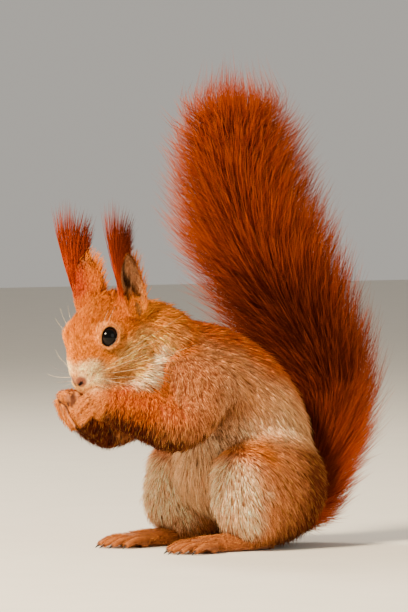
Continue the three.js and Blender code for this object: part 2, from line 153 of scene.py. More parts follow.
def arm(side):
    shoulder, elbow, wrist = ARMS[side]
    middle = elbow + 0.55 * (wrist - elbow)
    return limb([shoulder, elbow, middle, wrist], [14.5 - 2.6, 14.3 - 2.6, 12.2 - 2.2, 6.6 - 1.2])


def shoulder(sign):
    """The muscle and loose skin between the neck and the upper arm."""
    return egg(at(18.5 * sign, 37, 83), 10, 14.5, 13)


def shank(sign):
    return limb([at(29 * sign, 5, 38), at(30 * sign, 8, 21), at(27 * sign, 0, 9.5)], [14 - 2.5, 13 - 2.5, 8 - 1.5])


print("spine of", len(SPINE[0]), "places; tail of", len(TAIL[0]))

# %% [markdown]
# ## A field for the flesh
#
# The skin is the zero surface of a field that is negative inside and grows by about one for each
# millimetre outwards. Round limbs and egg-shaped masses are blended into one another, the way a
# sculptor smooths clay into clay, and eye sockets, nostrils and the mouth are pressed in afterwards.
# The field is worked out on a grid of rulers that is fine at the head, hands and feet.

# %% The grid
def ruler(*stops):
    """Marks from stop to stop, each (start, step), with the last stop as the end."""
    runs = [np.arange(a, b[0] - 0.3 * s, s) for (a, s), b in zip(stops[:-1], stops[1:])]
    return np.concatenate(runs + [[stops[-1][0]]]).astype(np.float32)


RULERS = (
    ruler((-46, 1.5), (-21, 0.72), (21, 1.5), (46,)),
    ruler((-98, 0.62), (-60, 0.85), (-44, 1.6), (92,)),
    ruler((-1.2, 0.85), (12, 1.8), (57, 0.56), (84, 0.72), (132, 0.9), (150, 2.6), (216,)),
)
field = np.full([len(r) for r in RULERS], 1e3, np.float32)
print("grid of", field.shape, "=", round(field.size / 1e6, 1), "million places")


def grid_near(low, high):
    """The part of the grid inside a box, as slices and as a list of places."""
    cut = tuple(slice(*np.searchsorted(r, (a, b))) for r, a, b in zip(RULERS, low, high))
    places = np.stack(np.meshgrid(*(r[c] for r, c in zip(RULERS, cut)), indexing="ij"), -1)
    return cut, places.reshape(-1, 3)


# %% Shapes that the field is made of
def beside(places, line_and_radius):
    """How far each place is from a limb's skin, and its share of the way along the limb."""
    line, radius = line_and_radius
    best = np.full(len(places), 1e9, np.float32)
    share = np.zeros(len(places), np.float32)
    for i in range(len(line) - 1):
        run = (line[i + 1] - line[i]).astype(np.float32)
        away = places - line[i].astype(np.float32)
        t = np.clip(away @ run / (run @ run), 0, 1)
        distance = np.linalg.norm(away - t[:, None] * run, axis=1) - radius[i] - t * (radius[i + 1] - radius[i])
        closer = distance < best
        best[closer] = distance[closer]
        share[closer] = (i + t[closer]) / (len(line) - 1)
    return best, share


def limb_shape(line_and_radius, reach=None):
    """A limb as a shape: its distance function and two corners of a box that holds it."""
    line, radius = line_and_radius
    reach = reach or radius.max()
    return lambda places: beside(places, line_and_radius)[0], line.min(0) - reach, line.max(0) + reach


def along_limb(points, radii, per_span):
    return limb_shape(limb(points, radii, per_span=per_span))


def egg(centre, left, fore, up, axes=np.eye(3)):
    """An ellipsoid: with q as the place over the half-lengths, the distance is about
    |q| (|q| - 1) / |q over the half-lengths again|."""
    half = np.array([left, fore, up])

    def distance(places):
        q = (places - centre.astype(np.float32)) @ axes.astype(np.float32) / half.astype(np.float32)
        near = np.linalg.norm(q, axis=1)
        return near * (near - 1) / np.maximum(np.linalg.norm(q / half.astype(np.float32), axis=1), 1e-5)

    reach = np.full(3, half.max())
    return distance, centre - reach, centre + reach


def blend_in(shape, width):
    """Joins a shape to the field and rounds the valley between them over that width."""
    distance, low, high = shape
    cut, places = grid_near(low - width - 2.5, high + width + 2.5)
    old = field[cut]
    new = distance(places).reshape(old.shape)
    near = np.maximum(width - np.abs(old - new), 0) / width
    field[cut] = np.minimum(old, new) - near * near * width / 4


def press_in(shape):
    """Takes a shape out of the field."""
    distance, low, high = shape
    cut, places = grid_near(low - 2, high + 2)
    field[cut] = np.maximum(field[cut], -distance(places).reshape(field[cut].shape))


# %% [markdown]
# ## The head
#
# A squirrel's head is a short wedge: a round brain case, big eyes set high on its sides, full cheeks
# and a small blunt snout with a pad on each side that carries the whiskers. The lids are a rounded
# rim that runs round the eyeball and draws out to a corner in front, where the tear duct is.

# %% Head shapes
def head_egg(left, fore, up, *half):
    return egg(on_head(left, fore, up), *half, axes=HEAD_AXES)


def head_places(points, sign=1.0):
    """Places on the head from points on its left, mirrored to the right where the sign is negative."""
    return np.array([on_head(left * sign, fore, up) for left, fore, up in points])


def head_line(points, radii, sign=1.0):
    return along_limb(head_places(points, sign), radii, per_span=3)


def eye_place(sign):
    return on_head(EYE_AT[0] * sign, EYE_AT[1], EYE_AT[2])


EYES = [eye_place(sign) for _, sign in SIDES]
LID_RADIUS = 1.0


def gaze(sign):
    """The way the eye looks: out to the side, a little forwards and up."""
    return unit(HEAD_AXES @ at(0.85 * sign, 0.24, 0.62))


def lid_line(sign, radius, opening=63.0, corner=14.0, places=41):
    """A closed line on a ball round the eye. Its angle from the gaze is the opening, less above and
    below, and more at the two corners, where it grows with a high power of the cosine or sine."""
    look = gaze(sign)
    front = unit(HEAD_AXES @ at(0, 0.9, -0.35))
    front = unit(front - look * (front @ look))
    upper = np.cross(look, front) * sign
    turn = np.linspace(0, 2 * np.pi, places)[:, None]
    front_corner, rear_corner = np.abs(np.cos(turn / 2)) ** 12, np.abs(np.sin(turn / 2)) ** 12
    lean = np.radians(opening - 14 * np.sin(turn) ** 2 + corner * front_corner + 0.4 * corner * rear_corner)
    way = np.cos(lean) * look + np.sin(lean) * (np.cos(turn) * front + np.sin(turn) * upper)
    return eye_place(sign) + radius * way


def head_shapes():
    """The head's masses in the order they are blended, each with the width of its blend."""
    yield head_egg(0, -4, 1, 14.8, 20.2, 15.4), 8
    yield head_line([(0, 6, 2.8), (0, 14.5, 1.0), (0, 22.8, -2.3)], [12.2, 9.7, 6.0]), 8
    yield head_line([(0, 2, -8), (0, 11, -9.6), (0, 18.2, -9.5)], [8.8, 6.4, 3.0]), 4
    for _, sign in SIDES:
        yield head_egg(7.2 * sign, 5, -7, 8.2, 12, 8.8), 5
        yield head_egg(7.6 * sign, 2.5, -12.5, 7.2, 9.5, 6.2), 5
        yield head_egg(3.9 * sign, 20.9, -5.0, 4.2, 5.4, 4.0), 1.6
        yield head_egg(9.3 * sign, 4.5, 11.2, 4.4, 7, 3.4), 4
        yield head_egg(12 * sign, -15, 5.5, 4.8, 6, 7), 4
    yield head_egg(0, 26.2, -1.8, 2.9, 2.4, 2.5), 1.2


def lid_shape(sign):
    line = lid_line(sign, EYE_RADIUS + 0.1)
    return limb_shape((line, np.full(len(line), LID_RADIUS)))


MOUTH = [(0, 26.7, -6.7), (2.6, 25.0, -8.1), (5.2, 20.6, -9.2), (6.8, 16, -9.4), (7.6, 11.5, -8.4)]
NOSTRIL = [(1.2, 28.4, -2.2), (2.4, 27.6, -1.7), (3.4, 26.2, -2.0)]


def pressed_shapes():
    """The eye sockets, nostrils, the groove under the nose and the mouth."""
    for _, sign in SIDES:
        yield egg(eye_place(sign), *[EYE_RADIUS + 0.08] * 3)
        yield head_line(NOSTRIL, [0.6, 0.85, 0.5], sign)
        yield head_line(MOUTH, [0.5, 0.5, 0.55, 0.5, 0.2], sign)
    yield head_line([(0, 28.9, -2.4), (0, 28.3, -4.4), (0, 27.1, -6.4)], [0.3, 0.35, 0.45])


# %% [markdown]
# ## Ears, hands and feet
#
# The ear is a scoop: a curved wall that stands on the back corner of the skull and is open to the
# side. A hand has a palm and four bent fingers, a foot has a long flat sole and five toes.

# %% Ear shape
EAR_LENGTH, EAR_HALF_WIDTH, EAR_CURL = 26.0, 7.8, np.radians(118)
EAR_WALL, EAR_INSET, EAR_FLATTEN = 1.25, 0.3, 0.62


def ear_frame(sign):
    """The ear's root, and the directions up along it, out of its mouth and across it. The right ear
    is turned back, so that the left side sees the flat of its back."""
    if sign > 0:
        root, along, out = on_head(14.3, -16, 6.4), unit(at(0.08, 0.23, 1)), at(0.97, -0.08, 0)
    else:
        root, along, out = on_head(-14.8, -14.5, 6.2), unit(at(-0.04, 0.16, 1)), at(-0.92, -0.38, 0)
    out = unit(out - along * (out @ along))
    return root, along, out, np.cross(along, out)


def ear_place(places, sign):
    """A place by the ear's own measures: share of its height, radius from its middle line, and angle
    from the middle of its back."""
    root, along, out, across = ear_frame(sign)
    away = places - root
    a, o = away @ across, away @ out / EAR_FLATTEN
    return away @ along / EAR_LENGTH, np.hypot(a, o), np.arctan2(a, -o)


def ear_wall(v):
    """The radius of the ear's arc at a share of its height: it swells and then narrows to the tip."""
    return EAR_HALF_WIDTH * np.sqrt(1 - 0.97 * v**2.4) * (0.85 + 0.3 * v)


def ear_shape(sign):
    """A wall of even thickness along the arc."""

    def distance(places):
        share, radius, angle = ear_place(places, sign)
        v = np.clip(share, 0, 1)
        wall = ear_wall(v) - EAR_INSET
        sheet = 0.8 * np.abs(radius - wall) - EAR_WALL / 2
        rim = (np.abs(angle) - EAR_CURL * (1 - 0.45 * v)) * np.maximum(wall, 1)
        ends = np.maximum(share - 1, -0.12 - share) * EAR_LENGTH
        return np.maximum(np.maximum(sheet, rim), ends).astype(np.float32)

    root, along, _, _ = ear_frame(sign)
    ends = np.array([root - 5 * along, root + EAR_LENGTH * along])
    return distance, ends.min(0) - 11, ends.max(0) + 11


def ear_fold(sign):
    """The low ridge inside the scoop and the small lobe in front of it."""
    root, along, out, across = ear_frame(sign)
    foot = root + 0.5 * along - 2.2 * sign * across
    top = root + 16 * along - 2.6 * out + 3.5 * sign * across
    return along_limb([foot, root + 9 * along - 1.8 * out, top], [2.0, 1.1, 0.6], per_span=3)


def ear_hollow(sign):
    """The bowl at the foot of the scoop, as an egg that is pressed into the skull."""
    root, along, out, across = ear_frame(sign)
    return egg(root + 0.2 * along + 4.9 * out, 3.9, 3.6, 6.4, axes=np.stack([across, out, along], 1))


# %% Fingers and toes
def spread(count):
    return np.arange(count) - (count - 1) / 2


FINGERS_APART = {"left": unit(at(0.43, -0.45, -0.65)), "right": unit(at(0.5, -0.65, 0.4))}


def digits_of_hand(side, sign):
    """Four fingers from the knuckles: each bends outwards in the middle and comes in at its tip."""
    apart = FINGERS_APART[side]
    arch = 1.9 * at(sign * 0.6, 0.5, 0.35)
    for off in spread(4):
        root = KNUCKLES[side] + 2.6 * off * apart
        tip = FINGERTIPS[side] + (2.6 * off + 0.4 * np.sin(3 * off)) * apart
        tip = tip - (0.5 * abs(off) - 0.4) * unit(tip - root)
        yield [root, root + 0.48 * (tip - root) + arch, tip]


def digits_of_foot(sign):
    """Five toes that fan out from the ball of the foot, the middle one longest."""
    for off in spread(5):
        short = off * off
        yield [
            at(28 * sign + 3.3 * off, 34 - 1.1 * short, 3.4),
            at(28 * sign + 4.5 * off, 44 - 1.3 * short, 4.0),
            at(28 * sign + 5.2 * off, 51 - 1.5 * short, 1.8),
        ]


DIGITS = {}
for side, sign in SIDES:
    DIGITS["hand_" + side] = list(digits_of_hand(side, sign))
    DIGITS["foot_" + side] = list(digits_of_foot(sign))


def hand_shapes(side):
    wrist, knuckles = ARMS[side][2], KNUCKLES[side]
    back = wrist + 0.5 * (knuckles - wrist)
    yield along_limb([wrist, back, knuckles], [4.6, 4.6, 3.2], per_span=3), 4
    for points in DIGITS["hand_" + side]:
        yield along_limb(points, [1.14, 1.16, 0.92], per_span=5), 0.08


def foot_shapes(side, sign):
    for across in (-2.6, 2.6):
        x = 27.3 * sign + across
        yield along_limb([at(x, -5, 4.4), at(x, 18, 4.0), at(x, 35, 3.6)], [4.0, 3.9, 3.5], per_span=3), 2.5
    for points in DIGITS["foot_" + side]:
        yield along_limb(points, [2.1, 1.85, 1.5], per_span=4), 0.5
        yield egg(points[1] - at(0, 6, 2.4), 1.6, 2.6, 1.5), 1.0


# %% [markdown]
# ## The skin as one net
#
# Every shape is blended into the grid in turn. Then a net is drawn over the zero surface: one knot in
# each cell that the surface passes through, at the average of the places where it cuts the cell's
# edges, and one square across each grid edge that it cuts. The net is closed and all squares.

# %% Blend everything
GROUPS = {
    "trunk": [
        (limb_shape(SPINE, reach=28), 1),
        (egg(at(0, -2, 44), 21, 22, 25), 12),
        (egg(at(0, 38, 91), 10, 10.5, 11.5), 10),
        (egg(at(0, 51, 88.5), 14.5, 10.5, 9.5), 8),
        (egg(at(10, 58, 88), 8.5, 8.5, 8), 5),
        (egg(at(-10, 58, 88), 8.5, 8.5, 8), 5),
    ],
    "tail": [(limb_shape(TAIL, reach=10), 6)],
    "head": list(head_shapes()),
}
for side, sign in SIDES:
    GROUPS["leg_" + side] = [(egg(at(25 * sign, -12, 31), 14.2, 30.2, 25.8), 9), (limb_shape(shank(sign)), 7)]
    GROUPS["arm_" + side] = [(limb_shape(arm(side)), 14), (shoulder(sign), 10)]
    GROUPS["hand_" + side] = list(hand_shapes(side))
    GROUPS["foot_" + side] = list(foot_shapes(side, sign))
    GROUPS["ear_" + side] = [(ear_shape(sign), 2.2), (ear_fold(sign), 1.2)]

for shapes in GROUPS.values():
    for shape, width in shapes:
        blend_in(shape, width)
for _, sign in SIDES:
    blend_in(lid_shape(sign), 1.5)
for shape in [*pressed_shapes(), ear_hollow(1.0), ear_hollow(-1.0)]:
    press_in(shape)
field[:] = np.maximum(field, -RULERS[2][None, None, :])  # nothing reaches below the ground
print("flesh fills", int((field < 0).sum()), "grid places")


# %% Draw the net
def net_over(values, rulers):
    """Knots and squares over the zero surface, facing outwards."""
    inside = values < 0
    halves = (slice(0, -1), slice(1, None))
    corners = [inside[i, j, k] for i in halves for j in halves for k in halves]
    mixed = np.any(corners, axis=0) & ~np.all(corners, axis=0)
    number = np.full(mixed.shape, -1)
    number[mixed] = np.arange(mixed.sum())
    cells = np.argwhere(mixed)
    total, cuts = np.zeros((len(cells), 3)), np.zeros(len(cells))
    for axis in range(3):
        for one in (0, 1):
            for two in (0, 1):
                low = cells.copy()
                low[:, (axis + 1) % 3] += one
                low[:, (axis + 2) % 3] += two
                high = low.copy()
                high[:, axis] += 1
                a, b = values[tuple(low.T)], values[tuple(high.T)]
                cut = (a < 0) != (b < 0)
                place = np.stack([rulers[n][low[:, n]] for n in range(3)], 1).astype(float)
                t = np.where(cut, a / np.where(cut, a - b, 1), 0)
                place[:, axis] += t * (rulers[axis][high[:, axis]] - rulers[axis][low[:, axis]])
                total[cut] += place[cut]
                cuts[cut] += 1
    squares = []
    for axis in range(3):
        start, end = [slice(1, -1)] * 3, [slice(1, -1)] * 3
        start[axis], end[axis] = slice(0, -1), slice(1, None)
        change = inside[tuple(start)] != inside[tuple(end)]
        edge = np.argwhere(change) + [0 if n == axis else 1 for n in range(3)]
        ring = []
        for one, two in ((0, 0), (-1, 0), (-1, -1), (0, -1)):
            cell = edge.copy()
            cell[:, (axis + 1) % 3] += one
            cell[:, (axis + 2) % 3] += two
            ring.append(number[tuple(cell.T)])
        ring = np.stack(ring, 1)
        turned = ~inside[tuple(edge.T)]
        ring[turned] = ring[turned][:, ::-1]
        squares.append(ring)
    return total / cuts[:, None], np.concatenate(squares)


def eased(values, squares, passes, pull):
    """Moves each knot's numbers part of the way to its neighbours' average, some times over."""
    pairs = np.concatenate([squares[:, [i, (i + 1) % 4]] for i in range(4)])
    count = np.bincount(pairs[:, 0], minlength=len(values))[:, None]
    for _ in range(passes):
        columns = [np.bincount(pairs[:, 0], column[pairs[:, 1]], len(values)) for column in values.T]
        values = values + pull * (np.stack(columns, 1) / count - values)
    return values


skin_places, skin_squares = net_over(field, RULERS)
skin_places = eased(skin_places, skin_squares, passes=2, pull=0.3)
skin_places[:, 2] = np.maximum(skin_places[:, 2], 0)
print("skin net:", len(skin_places), "knots,", len(skin_squares), "squares")

# %% Which part of the body each knot belongs to
def knot_normals(places, squares):
    """The average of the directions that the squares round a knot face."""
    a, b, c, d = (places[squares[:, corner]] for corner in range(4))
    across = np.cross(c - a, d - b)
    total = np.zeros_like(places)
    for corner in range(4):
        for n in range(3):
            total[:, n] += np.bincount(squares[:, corner], across[:, n], len(places))
    return unit(total)


skin_normals = knot_normals(skin_places, skin_squares)


PART_BLEND = 1.3  # millimetres over which one part gives way to the next


def part_weights(places):
    """How much each part of the body owns a place: 1 well inside a part, shared where parts meet."""
    near = {}
    for name, shapes in GROUPS.items():
        near[name] = np.min([shape[0](places.astype(np.float32)) for shape, _ in shapes], axis=0)
    least = np.min(list(near.values()), axis=0)
    weight = {name: np.exp(-(d - least) / PART_BLEND) for name, d in near.items()}
    total = sum(weight.values())
    return {name: w / total for name, w in weight.items()}


skin_parts = part_weights(skin_places)
print("knots by part:", {name: int((w > 0.5).sum()) for name, w in skin_parts.items()})

# %% [markdown]
# ## Markings
#
# A red squirrel is fox-red along the back and tail, grizzled where red and grey hairs mix on the
# flanks, and cream to white below. The markings are worked out once for each knot of the skin, from
# where it lies round the spine or on the head, and the coat takes its colours from the knot under it.
# Some colours are painted shade (under jaw and arms, behind the thighs, in the ears); the hips get a painted sheen.

# %% Colours and soft steps
def tone(*rgb):
    """A colour as a paint chart gives it, turned to the linear values that light works with."""
    s = np.array(rgb) / 255
    return np.where(s <= 0.04045, s / 12.92, ((s + 0.055) / 1.055) ** 2.4)


FUR = {
    "back": tone(182, 84, 20),
    "side": tone(204, 132, 80),
    "flank": tone(214, 154, 106),
    "loin": tone(224, 168, 116),
    "rump": tone(140, 62, 24),
    "belly": tone(226, 180, 138),
    "bib": tone(255, 214, 172),
    "crown": tone(200, 104, 0),
    "nape": tone(252, 156, 44),
    "cheek": tone(250, 184, 104),
    # Painted shade: the brown shadow under the jaw and at the corners of the mouth.
    "jaw": tone(170, 104, 50),
    "muzzle": tone(206, 114, 2),
    "whisker pad": tone(255, 208, 150),
    "eye ring": tone(240, 156, 70),
    "arm": tone(204, 102, 4),
    # Painted shade: the underside of the arms, darker than their fur.
    "arm below": tone(76, 26, 5),
    "hand": tone(208, 124, 50),
    "thigh": tone(220, 140, 84),
    "thigh top": tone(212, 114, 24),
    # The red-brown of the thigh's rear, darkened further as painted shade.
    "thigh rear": tone(104, 46, 24),
    "thigh front": tone(255, 214, 172),
    "foot": tone(176, 104, 50),
    "ear": tone(168, 56, 2),
    "ear back": tone(222, 122, 16),
    "ear tip": tone(78, 26, 6),
    "ear inside": tone(205, 140, 92),
    # Painted shade: the dark of the ear's hollow and of the grooves inside it.
    "ear pit": tone(60, 26, 14),
    "brush": tone(124, 40, 0),
    "brush root": tone(58, 11, 1),
    "brush tip": tone(168, 84, 6),
}
BARE = {"nose": tone(112, 58, 38), "lips": tone(64, 28, 20), "lid": tone(34, 20, 16), "palm": tone(204, 134, 92)}


def ramp(values, low, high):
    """0 below low, 1 above high and a smooth S between, which is t squared times (3 - 2 t)."""
    t = np.clip((values - low) / (high - low), 0, 1)
    return t * t * (3 - 2 * t)


def mix(under, over, share):
    return under + (over - under) * share[:, None]


def painted(colour, *coats):
    """Colours with coats of paint laid over them in turn, each the name of a fur and its share."""
    for name, share in coats:
        colour = mix(colour, FUR[name], share)
    return colour


def waves_over(places, size, seed, count, slowest):
    """Waves of about one size in random directions: their directions, and the phase of each at each place."""
    random = np.random.default_rng(seed)
    waves = unit(random.normal(size=(count, 3))) * (2 * np.pi / size) * random.uniform(slowest, 1.5, (count, 1))
    return waves, places @ waves.T + random.uniform(0, 2 * np.pi, count)


def wobble(places, size, seed):
    """A smooth random number from about -1 to 1."""
    return np.sin(waves_over(places, size, seed, 12, 0.6)[1]).sum(1) / 3.2


# %% Measures round a line
def reading(line, share):
    """The place on a line at a share of the way along it, and the line's direction there."""
    steps = np.arange(len(line)) / (len(line) - 1)
    slope = unit(np.gradient(line, axis=0))
    place = np.stack([np.interp(share, steps, line[:, n]) for n in range(3)], 1)
    return place, unit(np.stack([np.interp(share, steps, slope[:, n]) for n in range(3)], 1))


def nearest(places, points):
    """Distance of each place from the nearest of some points."""
    return np.min([np.linalg.norm(places - point, axis=-1) for point in points], axis=0)


def from_line(places, line):
    """Distance of each place from a line."""
    return beside(places.astype(np.float32), (line, np.zeros(len(line))))[0]


def around(places, line_and_radius, zero=at(1, 0, 0)):
    """Share along a line, the line's direction, and distance from it and angle about it from a zero."""
    _, share = beside(places.astype(np.float32), line_and_radius)
    place, way = reading(line_and_radius[0], share)
    first = unit(zero - way * (way @ zero)[:, None])
    away = places - place
    angle = np.arctan2((away * np.cross(way, first)).sum(1), (away * first).sum(1))
    return share, way, np.linalg.norm(away, axis=1), angle


def head_measures(places):
    """Left, fore and up as the head itself has them with its nose level."""
    local = (places - HEAD_PLACE) @ HEAD_AXES
    return local[:, 0], -local[:, 1], local[:, 2]


# %% Colour of every knot
def trunk_colour(places):
    share, _, _, angle = around(places, SPINE)
    soft = 0.5 * wobble(places, 18, 1) + 0.5 * wobble(places, 6, 2)
    high = np.sin(angle) + 0.12 * soft
    along = share + 0.03 * soft
    # A pale patch on the hip: partly paler fur, partly a painted sheen.
    pale_hip_and_sheen = np.hypot((-places[:, 1] + 8) / 20, (places[:, 2] - 62) / 13) + 0.12 * soft
    colour = painted(
        FUR["belly"][None],
        ("loin", ramp(high, -1.0, -0.4)),
        ("flank", ramp(along, 0.29, 0.44) * ramp(high, -0.95, -0.6)),
        ("back", ramp(high - 0.4 * ramp(share, 0.45, 0.25), 0.15, 0.75)),
        ("rump", ramp(share, 0.24, 0.06) * ramp(high, -0.4, 0.3) * 0.85),
        ("bib", ramp(share, 0.5, 0.62) * ramp(high, -0.72, -0.9)),
        ("side", ramp(along, 0.4, 0.56) * ramp(high, -0.8, -0.3) * ramp(high, 0.6, 0.2)),
        ("bib", 0.5 * ramp(pale_hip_and_sheen, 1.2, 0.4) * ramp(high, 0.75, 0.4)),
        ("nape", 0.6 * ramp(along, 0.72, 0.92) * ramp(high, -0.3, 0.3)),
    )
    left, fore, up = head_measures(places)
    colour = mix(colour, head_colour(places), ramp(fore, -21, -16) * ramp(up, -24, -20.5))
    beside_neck = ramp(up + soft, -20.8, -22.6) * ramp(np.abs(left), 12, 17) * ramp(share, 0.68, 0.78)
    return mix(colour, FUR["arm"], 0.9 * beside_neck)


def whisker_roots(sign):
    """Root, direction and length of each whisker: three rows of six on the pad, then three over the eye."""
    for row, up in enumerate((-3.2, -4.8, -6.4)):
        for step in range(6):
            way = unit(HEAD_AXES @ at((0.95 - 0.04 * step) * sign, 0.5 - 0.22 * step, 0.12 - 0.22 * row))
            root = on_head((5.0 + 0.35 * step) * sign, 24.2 - 1.7 * step - 0.5 * row, up)
            yield root, way, 20 + 5.5 * step - 2 * row
    for step in range(3):
        way = unit(HEAD_AXES @ at(0.5 * sign, 0.1 - 0.3 * step, 0.9))
        yield on_head((9.5 + step) * sign, 8.5 - 3 * step, 12.0 - 0.4 * step), way, 14


WHISKERS_ON_PAD = 18


def head_colour(places):
    left, fore, up = head_measures(places)
    side = np.abs(left)
    soft = wobble(places, 7, 3)
    # Painted shade under the jaw and at the corners of the mouth, in an oval round this place.
    jaw = np.hypot((fore - 16.5) / 7.0, (up + 9.8) / 4.8) + 0.1 * soft
    pad = np.hypot((fore - 22.5) / 5.5, up / 6.5) + 0.08 * soft
    off_bridge = np.maximum(ramp(side, 0.5, 3.5), 0.8 * ramp(fore + 0.5 * soft, 18, 22))
    colour = painted(
        FUR["cheek"][None],
        ("crown", ramp(up + 1.2 * soft - 0.1 * fore, -6.5, 3)),
        ("nape", ramp(fore + soft, -12, -17) * ramp(up, -13, -8) * ramp(up, 12, 4)),
        ("muzzle", ramp(fore + 0.5 * soft, 8, 15) * ramp(up, -4, 2)),
        ("jaw", ramp(jaw, 1.4, 0.4) * 0.85),
        ("whisker pad", ramp(pad, 1.25, 0.65) * off_bridge),
        ("whisker pad", ramp(up, -5, -8) * ramp(fore, 17, 21)),
        ("bib", ramp(np.abs(up + 18 + 0.8 * soft), 3.8, 1.6) * ramp(fore, -17, -12)),
        ("bib", ramp(up, -17, -20) * ramp(side, 14, 10)),
    )
    for eye, (_, sign) in zip(EYES, SIDES):
        dots = [root for root, _, _ in whisker_roots(sign)][:WHISKERS_ON_PAD]
        # Dark dots where the whiskers root: the painted jaw shade's brown at half its brightness.
        colour = mix(colour, FUR["jaw"] * 0.5, 0.6 * ramp(nearest(places, dots), 0.8, 0.3))
        colour = mix(colour, FUR["eye ring"], ramp(nearest(places, [eye]) + 0.3 * soft, 7.3, 6.2) * 0.7)
    return colour


def ear_colour(places, sign):
    share, radius, angle = ear_place(places, sign)
    v = np.clip(share, 0, 1)
    wall = ear_wall(v) - EAR_INSET
    front = ramp(-angle * sign, -0.4, 0.8)
    outer = painted(
        FUR["ear back"][None],
        ("crown", front),
        ("ear", ramp(share, 0.0, 0.35) * (0.25 + 0.75 * front)),
        ("ear tip", ramp(share, 0.6, 1.0) * 0.8),
    )
    within = ramp(radius, wall + 0.1, wall - 0.3) * ramp(np.abs(angle), EAR_CURL, EAR_CURL * 0.8)
    # Inside the ear, ridges of its own tan skin with painted shade in the grooves between them.
    ridges = np.cos(3.1 * angle * sign + 5.5 * v + 0.9) + 0.7 * v + 0.25 * wobble(places, 3, 9)
    inner = painted(FUR["ear pit"][None], ("ear inside", ramp(ridges, -0.5, 0.5)))
    return mix(outer, inner, within * ramp(share, -0.05, 0.08))


def arm_colour(places, side):
    share, _, _, angle = around(places, arm(side), zero=at(0, 0, 1))
    top = np.cos(angle) + 0.15 * wobble(places, 6, 4)
    soft = wobble(places, 8, 6)
    # The underside of forearm and upper arm is painted shade, giving way to the fur's own colours towards the top.
    lower = painted(FUR["arm below"][None], ("arm", ramp(top, -0.6, 0.5)))
    upper = painted(
        FUR["arm below"][None],
        ("side", ramp(top, -1.0, 0.0)),
        ("flank", ramp(-places[:, 1] + 3 * soft, 33, 14) * ramp(top, -0.7, 0.1)),
    )
    return painted(mix(upper, lower, ramp(share + 0.05 * soft, 0.22, 0.62)), ("hand", ramp(share, 0.93, 1.0)))


def leg_colour(places, sign):
    fore, up = -places[:, 1], places[:, 2]
    soft = 2.2 * wobble(places, 12, 5) + 1.2 * wobble(places, 4, 7)
    front = ramp(fore - 0.12 * (up - 30) + 1.3 * soft, 1, 17) * ramp(up, 4, 16) * ramp(up + soft, 52, 44)
    # At the rear the thigh is its red-brown fur darkened by painted shade; further forwards it turns to its own
    # colours.
    colour = painted(
        FUR["thigh rear"][None],
        ("thigh", ramp(fore + 0.2 * up + soft, -24, 8)),
        ("thigh top", ramp(up + 0.5 * soft, 41, 49) * ramp(fore + soft, -10, 2)),
        ("thigh front", front),
    )
    if sign < 0:
        colour = painted(colour, ("thigh", 0.7 * ramp(up + soft, 22, 8)))
    return painted(colour, ("loin", ramp(up + 0.6 * soft, 48, 60) * 0.65))


def markings(places):
    """The colour of each place: each part's own markings, by how much the part owns the place."""
    own = {"trunk": trunk_colour(places), "tail": FUR["brush root"], "head": head_colour(places)}
    for side, sign in SIDES:
        own["ear_" + side] = ear_colour(places, sign)
        own["arm_" + side] = arm_colour(places, side)
        own["leg_" + side] = leg_colour(places, sign)
        own["hand_" + side], own["foot_" + side] = FUR["hand"], FUR["foot"]
    return sum(skin_parts[name][:, None] * colour for name, colour in own.items())


fur_colour = eased(markings(skin_places), skin_squares, passes=3, pull=0.6)
print("mean coat colour", fur_colour.mean(0).round(3))

# %% [markdown]
# ## The lie of the coat
#
# Hair lies from the nose to the tail, down the legs and out to the fingers. The lie is a direction
# along the skin at each knot, smoothed from knot to knot so that it turns without breaks. Length,
# lift and thickness go with it: short and close on the face and feet, long and loose on the body.


# %% Lie, length and lift
def lie_of_trunk(places):
    _, way, _, angle = around(places, SPINE)
    return -way + at(0, 0, -0.35) * np.cos(angle)[:, None] ** 2


def lie_of_head(places):
    left, fore, up = head_measures(places)
    outwards = 0.35 * np.sign(left) * ramp(np.abs(left), 0, 6)
    return np.stack([outwards, np.ones(len(left)), 0.03 * up], 1) @ HEAD_AXES.T


lie = skin_parts["trunk"][:, None] * lie_of_trunk(skin_places)
lie += skin_parts["head"][:, None] * lie_of_head(skin_places)
lie += skin_parts["tail"][:, None] * around(skin_places, TAIL)[1]
for side, sign in SIDES:
    arm_way = around(skin_places, arm(side))[1]
    lie += skin_parts["arm_" + side][:, None] * (0.35 * arm_way + at(0, -0.25, -0.9))
    lie += skin_parts["leg_" + side][:, None] * at(0, -0.4, -0.9)
    lie += skin_parts["hand_" + side][:, None] * unit(FINGERTIPS[side] - ARMS[side][2])
    lie += skin_parts["foot_" + side][:, None] * at(0.1 * sign, 1, -0.15)
    lie += skin_parts["ear_" + side][:, None] * ear_frame(sign)[1]
lie = unit(eased(lie, skin_squares, passes=14, pull=0.7))
for eye in EYES:
    from_eye = skin_places - eye
    close = ramp(np.linalg.norm(from_eye, axis=1), 9.5, 6.6)[:, None]
    lie = lie * (1 - 0.35 * close) + 1.1 * close * unit(from_eye)
lie = unit(lie - skin_normals * (lie * skin_normals).sum(1, keepdims=True))

